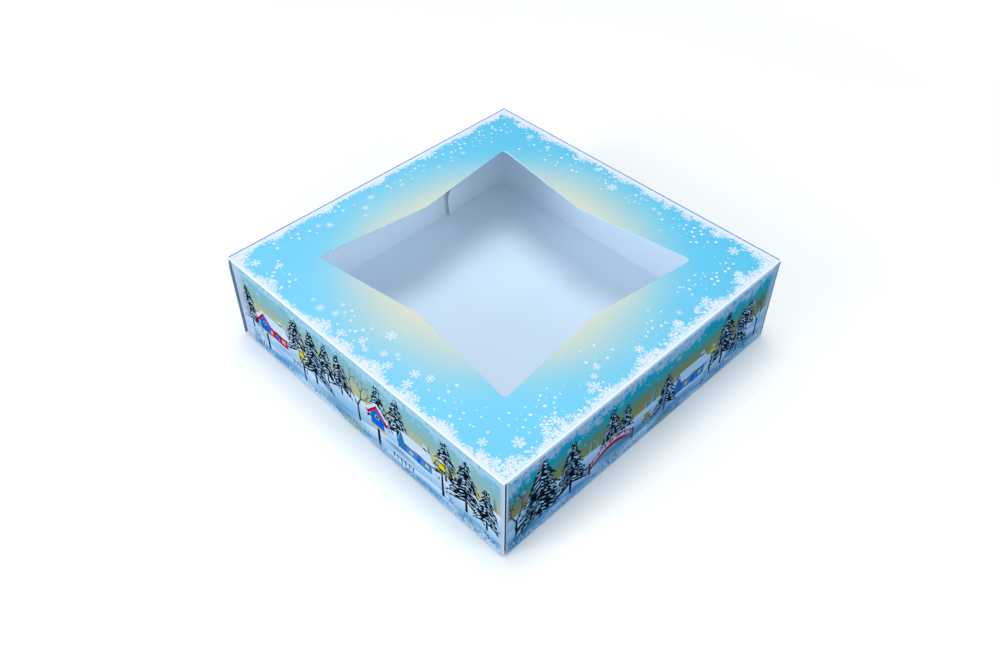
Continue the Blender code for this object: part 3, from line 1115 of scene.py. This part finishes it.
def cottage(art, place, size, wall=WALLS[0]):
    """A cottage seen from its long side, with a snow-covered roof."""
    here = Scaled(place, size)
    dark = tuple(value * 0.6 for value in wall)
    art.lay(here.box(-0.5, 0, 0.5, 0.42), wall)
    for row in range(1, 5):
        level = 0.42 * row / 5
        art.lay(here.box(-0.5, level, 0.5, level + 0.012), dark)
    gable = here.line((-0.5, 0), (-0.5, 0.42), (-0.72, 0.7), (-0.86, 0.4), (-0.86, 0.03))
    art.lay(gable[::-1], dark)
    art.lay(here.box(0.2, 0.62, 0.34, 0.98), ROOF_EDGE)
    art.lay(here.box(0.18, 0.94, 0.36, 1.04), SNOW)
    art.lay(here.line((-0.56, 0.36), (0.6, 0.36), (0.46, 0.8), (-0.7, 0.8)), ROOF_EDGE)
    snow = here.line(
        (-0.57, 0.42), (-0.3, 0.39), (0, 0.43), (0.3, 0.4), (0.6, 0.42), (0.47, 0.86), (-0.71, 0.86),
    )
    art.lay(snow, SNOW)
    art.lay(here.line((-0.9, 0.34), (-0.84, 0.34), (-0.7, 0.76), (-0.71, 0.86)), SNOW_SHADE)
    window = ((0.1, 0.13, 0.31, DOOR), (0.07, 0.15, 0.29, PANE), (0.008, 0.15, 0.29, DOOR))
    for middle in (-0.32, 0.3):
        for half, bottom, top, ink in window:
            art.lay(here.box(middle - half, bottom, middle + half, top), ink)
    art.lay(here.box(-0.1, 0, 0.08, 0.3), DOOR)
    art.lay(disc(here.at(0.045, 0.14), 0.018 * size, 6), PANE)
    drift = here.line(
        (-0.95, -0.02), (-0.4, -0.06), (0.62, -0.03), (0.5, 0.05), (0.2, 0.02), (-0.3, 0.06),
        (-0.8, 0.05),
    )
    art.lay(drift, SNOW)


def blue_cottage(art, place, size):
    """A cottage with blue walls."""
    cottage(art, place, size, WALLS[2])


def bird_house(art, place, size):
    """A bird house on a post, with snow on its roof."""
    here = Scaled(place, size)
    art.lay(stick(place, here.at(0, 0.6), 0.07 * size, 0.06 * size), FIR_DARKS[0])
    art.lay(here.line((-0.17, 0.5), (0.17, 0.5), (0.17, 0.8), (0, 0.96), (-0.17, 0.8)), DOOR)
    for level in (0.58, 0.66, 0.74):
        art.lay(here.box(-0.17, level, 0.17, level + 0.008), TEAL_DEEP)
    for radius, ink in ((0.055, PANE), (0.04, FIR_DARKS[0])):
        art.lay(disc(here.at(0, 0.74), radius * size, 10), ink)
    for side in (-1, 1):
        eaves = side * 0.27
        art.lay(stick(here.at(eaves, 0.71), here.at(0, 1.0), 0.09 * size, 0.09 * size), WALLS[0])
        art.lay(stick(here.at(eaves, 0.78), here.at(0, 1.07), 0.07 * size, 0.06 * size), SNOW)
    art.lay(here.box(-0.23, 0.45, 0.23, 0.5), WALLS[1])


def bridge(art, place, size):
    """A red footbridge that arches over a dip, with snow along its rails."""
    here = Scaled(place, size)

    def arch(share, lift):
        return here.at(share - 0.5, 0.2 * math.sin(math.pi * share) + lift)

    steps = 14
    for share in (0.06, 0.2, 0.34, 0.5, 0.66, 0.8, 0.94):
        art.lay(stick(arch(share, 0.0), arch(share, 0.17), 0.03 * size, 0.026 * size), ROOF_EDGE)
        art.lay(disc(arch(share, 0.18), 0.02 * size, 8), SNOW)
    for low, high, ink in (
        (-0.03, 0.05, WALLS[0]), (-0.045, -0.03, TIMBER), (0.05, 0.066, SNOW),
        (0.13, 0.16, WALLS[0]), (0.16, 0.178, SNOW),
    ):
        under = [arch(step / steps, low) for step in range(steps + 1)]
        over = [arch(step / steps, high) for step in range(steps + 1)]
        art.lay(under + over[::-1], ink)
    for end in (-0.5, 0.5):
        art.lay(stick(here.at(end, -0.1), here.at(end, 0.2), 0.05 * size, 0.05 * size), TIMBER)
        art.lay(disc(here.at(end, 0.21), 0.035 * size, 10), SNOW)


def logs(art, place, size):
    """A stack of logs under snow."""
    radius = size / 8
    here = Scaled(place, radius)
    for row in range(3):
        for index in range(4 - row):
            middle = here.at((index - (3 - row) / 2) * 2, 1 + 1.74 * row)
            for share, corners, ink in ((1.02, 12, TIMBER), (0.74, 12, OCHRE), (0.4, 10, WALLS[1])):
                art.lay(disc(middle, radius * share, corners), ink)
    art.lay(here.line((-1.3, 5.3), (1.3, 5.3), (0.8, 6.3), (-0.8, 6.3)), SNOW)
    for side in (-1, 1):
        for row in range(2):
            art.lay(disc(here.at(side * (3.1 - row), 2.05 + 1.74 * row), 0.55 * radius, 9), SNOW)


def lantern(art, place, size):
    """A lamp post with a lit lantern."""
    here = Scaled(place, size)
    art.lay(stick(place, here.at(0, 0.74), 0.06 * size, 0.04 * size), FIR_DARKS[2])
    for ring in (0.26, 0.19, 0.13):
        art.lay(disc(here.at(0, 0.84), ring * size, 14), PANE, 0.09)
    art.lay(here.box(-0.07, 0.74, 0.07, 0.92), PANE)
    for level in (0.74, 0.93):
        art.lay(here.box(-0.1, level - 0.02, 0.1, level + 0.02), FIR_DARKS[2])
    art.lay(here.line((-0.1, 0.95), (0.1, 0.95), (0, 1.04)), SNOW)


def rowan(art, place, height):
    """A bare tree that keeps its red berries."""
    bare_tree(art, place, height)
    chance = art.random
    crown = (place[0], place[1] + height * 0.62)
    for _ in range(34):
        angle, reach = chance.uniform(0.1, 3.0), height * chance.uniform(0.15, 0.42)
        art.lay(disc(reached(crown, reach, angle), chance.uniform(0.35, 0.6), 7), WALLS[0])


def fence(art, place, posts):
    """Posts and two rails, each with its line of snow."""
    u, v = place
    gap, height = 3.2, 4.2
    end = u + gap * (posts - 1)
    for level in (1.4, 2.9):
        art.lay(box(u - 0.6, v + level, end + 0.6, v + level + 0.5), BARK)
        art.lay(box(u - 0.6, v + level + 0.4, end + 0.6, v + level + 0.75), SNOW)
    for post in range(posts):
        middle = u + gap * post + art.random.uniform(-0.2, 0.2)
        top = v + height + art.random.uniform(-0.3, 0.3)
        art.lay(stick((middle, v - 0.5), (middle, top), 0.85, 0.7), BARK_DARK)
        art.lay(disc((middle, top), 0.6, 8), SNOW)


def pond(art, place, size):
    """Open water in the snow, with the warm sky in it."""
    for share, ink, cover in ((1.0, WATER, 0.9), (0.8, OCHRE, 0.45), (0.5, OCHRE, 0.45)):
        art.lay(blob(place, size * share, 0.24, 28, (0.1, 0.06)), ink, cover)


def brush(art, low, high, level, count, inks):
    """Leaning strokes of a wet brush, for grass and shade in the snow."""
    chance = art.random
    for _ in range(count):
        u = chance.uniform(low, high)
        v = level + chance.gauss(0, 1.6)
        lean = chance.gauss(0, 0.5)
        end = swayed((u, v), chance.uniform(1.6, 4.6), lean)
        art.lay(leaf((u, v), end, 0.7), chance.choice(inks), chance.uniform(0.25, 0.7))


def shade(art, place, size, ink=SNOW_DEEP, cover=0.12):
    """A soft-edged patch of blue on the snow."""
    for ring in range(7):
        art.lay(blob(place, size * (1 - ring / 7), 0.22, 20, (0.12, 0)), ink, cover)


def valley(art, place, size):
    """Ice in a dip of the snow."""
    shade(art, place, size, TEAL, 0.17)


def grass(art, place, size):
    """Tufts of wet brush strokes, in teal and white."""
    chance = art.random
    for _ in range(int(4.5 * size)):
        u = place[0] + chance.gauss(0, 0.5) * size
        v = place[1] + chance.gauss(0, 0.16) * size
        length = chance.uniform(1.8, 5.0)
        lean = chance.gauss(0, 0.45)
        ink = chance.choice((TEAL, TEAL, TEAL_DEEP, SNOW))
        art.lay(leaf((u, v), swayed((u, v), length, lean), 0.8), ink, chance.uniform(0.4, 0.9))


def bush(art, place, size):
    """Bare twigs that stick out of the snow."""
    chance = art.random
    for _ in range(int(8 + size)):
        lean = chance.gauss(0, 0.6)
        length = size * chance.uniform(0.4, 1.0)
        start = (place[0] + chance.gauss(0, size * 0.25), place[1])
        ink = chance.choice((TEAL, BARK_DARK, FIR_DARKS[3]))
        art.lay(leaf(start, swayed(start, length, lean), 0.35), ink, 0.8)


# How dark the ink is printed on the left and back sides, and on the front and right ones
LIGHT_TONE = (0.74, 0.84, 0.94)
DEEP_TONE = (0.40, 0.58, 0.75)

# Where the pictures end: at the box's corners, the flaps' rear ends, the ears' folds and the top
CORNER_END = 115
FLAP_END = 110.8
EAR_END = 113.2
PICTURE_TOP = 61.7
# A level above every side, up to which what covers a side's full height is drawn
ABOVE = 70


def frosted_top(art, low, high, top, thick, ink):
    """Frost that hangs ragged from the upper edge, with flakes below it."""
    chance = art.random
    line = ((high, top), (low, top))
    for depth in (0.9, 2.0):
        art.lay(band(line, depth * thick, 2.0), ink, 0.5)
    u = low
    while u < high:
        swell = 0.5 + 0.5 * math.sin(u * 0.16) * math.sin(u * 0.061 + 1.7)
        for _ in range(3):
            root = (u + chance.uniform(-1.5, 1.5), top - thick * chance.uniform(0.5, 3.0 + 5.0 * swell))
            length = thick * (2.6 + 5.5 * swell * chance.random())
            lean = -math.pi / 2 + chance.gauss(0, 0.6)
            art.lay(needle(root, lean, length, 0.3, 3), ink, chance.uniform(0.5, 0.95))
        if chance.random() < 0.6:
            level = top - thick * chance.uniform(1.5, 5.0 + 8.0 * swell)
            kind = chance.choice((0, 1, 2))
            art.lay(flake((u, level), chance.uniform(1.6, 3.2), chance.random(), kind), ink, 0.8)
        u += chance.uniform(1.2, 2.6)
    for _ in range(26):
        place = (chance.uniform(low, high), top - 7 - abs(chance.gauss(0, 6)))
        radius, turn = chance.uniform(1.0, 2.4), chance.uniform(0, 1)
        art.lay(flake(place, radius, turn, chance.choice((0, 1, 3, 3))), ink, 0.8)
    for _ in range(60):
        place = (chance.uniform(low, high), top - 5 - abs(chance.gauss(0, 9)))
        art.lay(disc(place, chance.uniform(0.3, 0.7), 8), ink, 0.9)


def white_end(art, end, way, reach):
    """The picture fading to white towards one end of the panel."""
    layers = 8
    for layer in range(layers):
        edge = end + way * reach * (layer + 1) / layers
        low, high = min(end - way * 4, edge), max(end - way * 4, edge)
        art.lay(box(low, -4, high, ABOVE), FROST, 0.24)


def winter(seed, tone, low, high, scenery, fades, thick, shadow=SNOW_SHADE):
    """A snowy landscape between two ends: crests from far to near, each with what stands on it.

    What stands on a crest is given as how it is drawn, and then the place and size of each one.
    """
    art = Print(seed, tone)
    for crest, *standing in scenery:
        hill(art, crest, SNOW, shadow)
        for draw, *drawn in standing:
            for u, v, size in drawn:
                draw(art, (u, v), size)
    for _ in range(9):
        shade(art, (art.random.uniform(low, high), art.random.uniform(1, 10)), art.random.uniform(8, 18))
    brush(art, low, high, 3.0, 330, (TEAL, TEAL, SNOW_DEEP, TEAL, SNOW))
    brush(art, low, high, 0.2, 80, (SNOW, SNOW, SNOW_SHADE))
    frosted_top(art, low, high, PICTURE_TOP, thick, FROST if thick > 0.8 else RIME)
    if tone == DEEP_TONE:
        upper = ((high, PICTURE_TOP), (low, PICTURE_TOP))
        art.lay(band(upper, 2.4, 2.0), BRIGHT_FROST, 0.8)
        # Painted highlight along the top edge, where the board turns over the fold
        art.lay(band(upper, 1.1, 2.0), TURN_HIGHLIGHT, 0.8)
        fringe(art, upper, (0.8, 2.6), (1.8, 5.0), 1.7, BRIGHT_FROST, 0.7)
    art.lay(box(low - 2, 0.9, high + 2, 1.7), SNOW, 0.4)
    for end, way, reach in ((low, 1, fades[0]), (high, -1, fades[1])):
        white_end(art, end, way, reach)
    return art


def left_print():
    """Hills with cottages, bird houses and lanterns, for the left side."""
    scenery = (
        (
            ((-118, 32), (-80, 34), (-40, 31), (10, 33), (60, 32), (118, 34)),
            (
                far_fir, (-106, 34, 9), (-60, 34.5, 11), (-14, 33, 9), (-8, 33, 12), (60, 34, 9),
                (108, 35, 11),
            ),
            (
                fir, (-52, 24, 33), (35, 26, 32), (20, 25, 30), (73, 24, 33), (-13, 25, 30),
                (-25, 26, 29), (-112, 25, 28),
            ),
        ),
        (
            ((-118, 22), (-86, 26), (-52, 19), (-10, 12), (30, 20), (62, 26), (90, 22), (118, 20)),
            (cottage, (-74, 20.5, 20)), (fir, (-100, 18, 32)), (shade, (-66, 18, 14)),
            (fir, (-38, 15, 40)), (bare_tree, (1, 13, 33)), (blue_cottage, (52, 19, 20)),
            (fir, (88, 15, 40), (103, 14, 31)), (bush, (68, 21, 5)), (fence, (-60, 14, 5)),
        ),
        (
            ((-118, 9), (-92, 13), (-60, 7), (-24, 3), (20, 8), (70, 13), (118, 6)),
            (pond, (-6, 4.6, 16)), (fence, (30, 7.5, 6)),
            (bush, (-98, 9, 6), (-40, 3, 5), (74, 9, 6), (106, 5, 6)),
            (shade, (60, 5, 18), (-80, 5, 16)),
            (valley, (-18, 10, 26), (88, 9, 16), (-100, 5, 14), (34, 16, 14)),
            (grass, (-96, 6, 15), (-78, 4, 10), (98, 4, 14), (36, 2, 10)), (bird_house, (18, 5, 33)),
            (lantern, (70, 9, 30)), (bird_house, (-86, 7, 29)), (lantern, (-50, 6, 26)),
        ),
    )
    return winter(21, LIGHT_TONE, -FLAP_END, CORNER_END, scenery, (9, 3), 0.7)


def front_print():
    """A valley with a footbridge, a cottage and bigger firs, for the front."""
    scenery = (
        (
            ((-118, 28), (-70, 30), (-20, 27), (30, 29), (80, 27), (118, 29)),
            (
                far_fir, (-50, 29, 9), (-44, 29, 7), (-4, 27, 8), (2, 27, 10), (8, 27, 7), (22, 28, 7),
                (56, 28, 9), (104, 28, 8),
            ),
            (fir, (-34, 23, 27), (-22, 23, 21), (90, 24, 22)),
        ),
        (
            ((-118, 18), (-84, 22), (-40, 13), (0, 10), (44, 18), (86, 20), (118, 15)),
            (rowan, (-106, 10, 32)), (fir, (-88, 4, 55), (-65, 9, 41)), (blue_cottage, (40, 14, 21)),
            (fir, (14, 12, 29), (68, 12, 40), (84, 10, 34)), (logs, (-2, 14, 12)),
            (bridge, (-32, 13, 36)), (lantern, (57, 9, 24)),
        ),
        (
            ((-118, 6), (-80, 9), (-44, 4), (-6, 8), (36, 4), (80, 9), (118, 6)),
            (bush, (-100, 5, 6), (-46, 3, 5)), (pond, (16, 3.6, 15)), (bush, (52, 5, 5), (92, 6, 6)),
            (fence, (60, 5, 5)), (shade, (-60, 4, 18), (70, 4, 16)),
            (valley, (-24, 13, 30), (20, 9, 24), (-96, 8, 20), (90, 11, 22)),
            (grass, (92, 5, 15), (-102, 4, 12), (-30, 3, 10)), (bare_tree, (103, 8, 30)),
        ),
    )
    art = winter(22, DEEP_TONE, -EAR_END, EAR_END, scenery, (2, 6), 1.1, SNOW_DEEP)
    # Painted highlight down the flap's left end, where it turns to the ear, fading downwards
    for bottom, top, cover in ((42, 60.5, 0.9), (32, 42, 0.55), (22, 32, 0.25)):
        art.lay(box(-EAR_END - 0.8, bottom, -EAR_END + 0.8, top), TURN_HIGHLIGHT, cover)
    return art


def right_print():
    """Firs on both sides of a cottage, for the right side."""
    scenery = (
        (
            ((-118, 32), (-60, 35), (0, 31), (60, 35), (118, 32)),
            (far_fir, (-88, 32, 8), (-80, 33, 6), (40, 33, 8), (92, 33, 7)),
            (fir, (-44, 30, 22), (60, 30, 24)),
        ),
        (
            ((-118, 20), (-70, 14), (-20, 22), (30, 15), (80, 23), (118, 18)),
            (fir, (-98, 15, 30), (-84, 14, 25)), (cottage, (-24, 18, 16)),
            (fir, (4, 16, 32), (18, 14, 25)), (bare_tree, (46, 14, 30)), (fir, (84, 18, 32)),
        ),
        (
            ((-118, 8), (-60, 4), (0, 9), (60, 4), (118, 9)),
            (fence, (-70, 5, 8)), (pond, (34, 4, 14)), (bush, (70, 4, 5), (-6, 7, 5)),
        ),
    )
    return winter(23, DEEP_TONE, -CORNER_END, FLAP_END, scenery, (4, 8), 1.0)


def back_print():
    """Much the same, laid out otherwise, for the back."""
    scenery = (
        (
            ((-118, 30), (-60, 32), (0, 29), (60, 32), (118, 30)),
            (far_fir, (-96, 30, 8), (-30, 29, 7), (-22, 29, 9), (70, 31, 7)),
            (fir, (-62, 28, 22), (30, 28, 21)),
        ),
        (
            ((-118, 16), (-70, 20), (-20, 13), (30, 20), (80, 15), (118, 20)),
            (bare_tree, (-90, 14, 30)), (fir, (-48, 14, 30), (-34, 13, 24)), (cottage, (8, 15, 16)),
            (fir, (56, 16, 34), (70, 14, 27), (100, 16, 30)),
        ),
        (
            ((-118, 6), (-60, 9), (0, 4), (60, 9), (118, 5)),
            (fence, (-24, 6, 6)), (pond, (-70, 4, 13)), (bush, (40, 5, 5), (88, 5, 5)),
        ),
    )
    return winter(24, LIGHT_TONE, -CORNER_END, CORNER_END, scenery, (5, 5), 0.9)


# Putting the box together

WHITE_BOARD = (0.735, 0.865, 0.985)
# The skies' colours at shares of the box's height
LEFT_SKY = (
    (0.56, (0.50, 0.48, 0.23)), (0.64, (0.41, 0.48, 0.32)), (0.72, (0.28, 0.44, 0.41)),
    (0.79, (0.25, 0.46, 0.47)), (0.90, (0.19, 0.49, 0.60)),
)
FRONT_SKY = (
    (0.46, (0.20, 0.22, 0.075)), (0.56, (0.135, 0.19, 0.10)), (0.66, (0.06, 0.215, 0.20)),
    (0.78, (0.006, 0.265, 0.39)), (0.90, (0.002, 0.285, 0.52)),
)


def spring_off(tab, inward):
    """Bend a tab's free end off the wall behind it, and let its foot down to the bottom."""
    for vertex in tab.data.vertices:
        out = max(0.0, BOW_START - abs(vertex.co.x) / MM) / BOW_RUN
        vertex.co += inward * (TAB_SPRING * out ** 2 * MM)
        rise = vertex.co.z / MM - TAB_FOOT
        if rise < FOOT_RISE:
            vertex.co.z -= (TAB_FOOT - FOOT_LEVEL) * MM * (1 - max(rise, 0) / FOOT_RISE)


def wall_ends(plane, level):
    """How far a wall's outer face reaches to both sides where it meets a fold near a level."""
    loop = plane.loops()[0]
    near = [u for u, v in loop if abs(v - level) < 0.05]
    return min(near), max(near)


def strips():
    """Cuts across a tab's face, without ink, along which the tab can bow."""
    art = Print(seed=1)
    for middle in range(50, 84, 4):
        for side in (-1, 1):
            art.lay(box(side * middle - 1, -2, side * middle + 1, ABOVE), SNOW, 0)
    return art


def turning_folds(flat, planes, outsides, inside):
    """The four folds that the flaps and the lid turn on."""
    turn = flat + CREASE_RADIUS * math.sin(math.pi / 4)
    for name, corner, first, other, plane, outside in (
        ("left_flap_fold", (-HALF, 0, TOP), RIGHT, "left_flap", planes[0], outsides[0]),
        ("right_flap_fold", (HALF, 0, TOP), LEFT, "right_flap", planes[1], outsides[1]),
        ("front_flap_fold", (0, -HALF, TOP), BACK, "front_flap", planes[2], outsides[0]),
        ("lid_fold", (0, HALF, TOP), FRONT, "tray", planes[3], outsides[1]),
    ):
        along = first.cross(DOWN)
        reaches = wall_ends(plane, TOP - CREASE_RADIUS)
        ends = sorted((plane.along * reach).dot(along) for reach in reaches)
        fold = Fold(corner, first, DOWN, (-flat, -turn, ends[0]), (flat, turn, ends[1]))
        piece = crease(name, fold, TURNING_DEPTH, False, (outside, inside))
        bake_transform(piece)


def upright(node):
    """Between which levels a frame piece stands."""
    low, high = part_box(node)
    return low.z / MM, high.z / MM


def still_folds(ear_face, white):
    """The folds that stay put: the tray's, and those between the front flap and its ears."""
    side_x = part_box("tray_right_wall")[1].x / MM
    front_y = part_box("tray_front_wall")[0].y / MM
    wall_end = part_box("tray_left_wall")[1].y / MM
    short = side_x - CREASE_RADIUS
    folds = []
    for name, side, into in (("left", -1, RIGHT), ("right", 1, LEFT)):
        folds.append((f"tray_{name}_fold", (side * side_x, 0, 0), into, UP, (-short, wall_end)))
        for end, corner, second in (("back", 1, FRONT), ("front", 0, BACK)):
            tab = f"{end}_{name}_tab"
            place = (side * side_x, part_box(tab)[corner].y / MM, 0)
            folds.append((f"{tab}_fold", place, into, second, upright(tab)))
        ear_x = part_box("right_ear")[1].x / MM
        ear_run = upright(f"{name}_ear")
        folds.append((f"{name}_ear_fold", (side * ear_x, -HALF, 0), into, BACK, ear_run))
    folds.append(("tray_front_fold", (0, front_y, 0), BACK, UP, (-short, short)))
    folds.append(("tray_back_fold", (0, HALF, 0), FRONT, UP, (-short, short)))
    for name, corner, first, second, (low, high) in folds:
        if first.cross(second).dot(Vector((1, 1, 1))) < 0:
            low, high = -high, -low
        ear = name.endswith("ear_fold")
        fold = Fold(corner, first, second, low, high)
        piece = crease(name, fold, BOARD, not ear, (ear_face if ear else white, white))
        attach(piece, "front_flap" if ear else "tray")


def main():
    white = board_material("white_board", WHITE_BOARD)
    # The back wall's inside, with painted shade at its ends
    back_inside = shaded_margin_material(WHITE_BOARD)
    # Painted shade on the back wall's cut edges, which show in the shaded gaps behind the side flaps
    shaded_back_edge = edge_material("back_wall_shaded_edge", (0.18, 0.26, 0.36), (0.26, 0.35, 0.47))
    # Painted shade on the outside of the far folds, the hinge and the right flap's fold
    far_fold_shade = crease_material("far_crease_painted_shade", FAR_FOLD_SHADE, tuple(1.2 * value for value in FAR_FOLD_SHADE))
    edge = edge_material("board_edge", (0.80, 0.86, 0.90), (0.90, 0.94, 0.96))
    # Painted shade on the corner tabs' cut edges, for the shadow beside their bowed free ends
    shaded_tab_edge = edge_material("shaded_tab_edge", (0.22, 0.29, 0.36), (0.32, 0.40, 0.48))
    fold_face = crease_material("crease_print", (0.72, 0.79, 0.88), (0.78, 0.84, 0.92))
    ear_face = ear_material()
    lid_face = lid_material()
    left_face = side_material("left_print", LEFT_SKY)
    front_face = side_material("front_print", FRONT_SKY)

    lid = Plane("lid_top", UP)
    flat = max(place[0] for place in lid.loops()[0])
    cut = edge_material("window_edge", (0.39, 0.61, 0.72), (0.47, 0.68, 0.78))
    lid_ink = lid_print(-flat, flat)
    windows = [as_cut(loop) for loop in lid.loops()[1:]]
    panel("lid_panel", lid, "lid", (lid_face, white, cut), lid_ink, windows)

    left, right = Plane("lid_left_flap", LEFT), Plane("lid_right_flap", RIGHT)
    front, back = Plane("lid_front_flap", FRONT), Plane("tray_back_wall", BACK)
    for name, plane, body, face, art in (
        ("left_flap_panel", left, "left_flap", left_face, left_print()),
        ("right_flap_panel", right, "right_flap", front_face, right_print()),
        ("front_flap_panel", front, "front_flap", front_face, front_print()),
        ("back_wall_panel", back, "tray", left_face, back_print()),
    ):
        # The back wall's inside and cut edges carry painted shade
        inside, rim_face = (back_inside, shaded_back_edge) if body == "tray" else (white, edge)
        panel(name, plane, body, (face, inside, rim_face), art)
    for name, normal in (("left_ear", LEFT), ("right_ear", RIGHT)):
        plane = Plane(name, normal)
        panel(f"{name}_panel", plane, "front_flap", (ear_face, white, edge))

    for node, normal in (
        ("tray_bottom", DOWN), ("tray_front_wall", FRONT), ("tray_left_wall", LEFT),
        ("tray_right_wall", RIGHT),
    ):
        panel(f"{node}_panel", Plane(node, normal), "tray", (white, white, edge))
    for node, normal in (
        ("back_left_tab", FRONT), ("back_right_tab", FRONT),
        ("front_left_tab", BACK), ("front_right_tab", BACK),
    ):
        # The tabs' cut edges carry painted shade
        plane, looks = Plane(node, normal), (white, white, shaded_tab_edge)
        spring_off(panel(f"{node}_panel", plane, "tray", looks, strips()), normal)

    turning_folds(flat, (left, right, front, back), (fold_face, far_fold_shade), white)
    still_folds(ear_face, white)

    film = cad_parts["window_film"]
    film.data.materials.clear()
    film.data.materials.append(film_material())


# The studio

FLOOR_FOR_LIGHT = (0.40, 0.42, 0.45)
WORLD_COLOUR = (0.86, 0.99, 1.08)
WORLD_STRENGTH = 0.5
# The floor turns to plain white between these distances from the box's middle, in metres
WHITE_FROM = 0.45
WHITE_BEYOND = 1.0
# Where the lamps point, and half the floor's side, in metres
LAMP_TARGET = (0, 0, 0.03)
FLOOR_HALF = 6.0
# Each lamp's name, place and size in metres, power in watts, and colour
LAMPS = (
    ("key", (0.11, 0.14, 1.6), 0.76, 11.1, (1, 1, 1)),
    ("left", (-1.5, 0.3, 0.7), 0.9, 15, (0.97, 1, 1.03)),
    ("front", (0.3, -1.5, 0.7), 0.9, 9, (0.96, 1, 1.04)),
)


def area_light(name, place, size, watts, colour):
    data = bpy.data.lights.new(name, "AREA")
    data.shape = "DISK"
    data.size = size
    data.energy = watts
    data.color = colour
    lamp = bpy.data.objects.new(name, data)
    bpy.context.scene.collection.objects.link(lamp)
    lamp.location = place
    lamp.rotation_euler = (Vector(LAMP_TARGET) - Vector(place)).to_track_quat("-Z", "Y").to_euler()


def studio():
    """Soft light from the world and three lamps; seen or mirrored, the world is plain white."""
    scene = bpy.context.scene
    scene.view_settings.view_transform = "Standard"
    world = bpy.data.worlds.new("studio")
    scene.world = world
    world.use_nodes = True
    tree = world.node_tree
    light = tree.nodes["Background"]
    light.inputs["Color"].default_value = (*WORLD_COLOUR, 1.0)
    light.inputs["Strength"].default_value = WORLD_STRENGTH
    white = tree.nodes.new("ShaderNodeBackground")
    white.inputs["Color"].default_value = (1, 1, 1, 1)
    path = tree.nodes.new("ShaderNodeLightPath").outputs
    seen = path["Is Camera Ray"]
    for ray in ("Is Glossy Ray", "Is Transmission Ray"):
        either = tree.nodes.new("ShaderNodeMath")
        either.operation = "MAXIMUM"
        tree.links.new(seen, either.inputs[0])
        tree.links.new(path[ray], either.inputs[1])
        seen = either.outputs[0]
    choice = tree.nodes.new("ShaderNodeMixShader")
    for key, socket in ((0, seen), (1, light.outputs[0]), (2, white.outputs[0])):
        tree.links.new(socket, choice.inputs[key])
    tree.links.new(choice.outputs[0], tree.nodes["World Output"].inputs["Surface"])
    for lamp in LAMPS:
        area_light(*lamp)


def floor():
    """A pale floor with the box's shadow, plain white further out where it is seen or mirrored."""
    nodes = Nodes("floor")
    path = nodes.add("ShaderNodeLightPath").outputs
    mirrored = nodes.maths("MAXIMUM", path["Is Glossy Ray"], path["Is Transmission Ray"])
    direct = nodes.maths("MAXIMUM", path["Is Camera Ray"], mirrored)
    pale = nodes.mix(nodes.noise(3, 2), (0.95, 0.935, 0.91), (0.97, 0.955, 0.93))
    nodes.set("Base Color", nodes.mix(direct, FLOOR_FOR_LIGHT, pale))
    away = nodes.add("ShaderNodeVectorMath", {0: nodes.place()}, operation="LENGTH")
    inputs = {"Value": away.outputs["Value"], "From Min": WHITE_FROM, "From Max": WHITE_BEYOND}
    white = nodes.add("ShaderNodeMapRange", inputs, interpolation_type="SMOOTHSTEP").outputs[0]
    nodes.set("Emission Color", (1, 1, 1, 1))
    nodes.set("Emission Strength", nodes.maths("MULTIPLY", white, direct))
    nodes.set("Roughness", 0.9)
    nodes.set("Specular IOR Level", 0.1)
    mesh = bpy.data.meshes.new("floor")
    corners = box(-FLOOR_HALF, -FLOOR_HALF, FLOOR_HALF, FLOOR_HALF)
    mesh.from_pydata([(x, y, 0) for x, y in corners], [], [(0, 1, 2, 3)])
    mesh.materials.append(nodes.material)
    new_piece("floor", mesh)


def camera():
    """The photograph's own camera."""
    yaw, pitch, roll = (math.radians(value) for value in (CAMERA_YAW, CAMERA_PITCH, CAMERA_ROLL))
    forward = Vector((
        math.cos(pitch) * math.sin(yaw), math.cos(pitch) * math.cos(yaw), -math.sin(pitch),
    ))
    level = forward.cross(UP).normalized()
    upward = level.cross(forward)
    right = level * math.cos(roll) + upward * math.sin(roll)
    up = upward * math.cos(roll) - level * math.sin(roll)
    data = bpy.data.cameras.new("camera")
    data.sensor_width = SENSOR_MM
    data.lens = SENSOR_MM * FOCAL_PIXELS / IMAGE_WIDTH
    data.clip_start = 0.01
    view = bpy.data.objects.new("camera", data)
    bpy.context.scene.collection.objects.link(view)
    turn = Matrix((right, up, -forward)).transposed()
    view.matrix_world = Matrix.Translation(CAMERA_PLACE) @ turn.to_4x4()
    bpy.context.scene.camera = view


main()
studio()
floor()
camera()
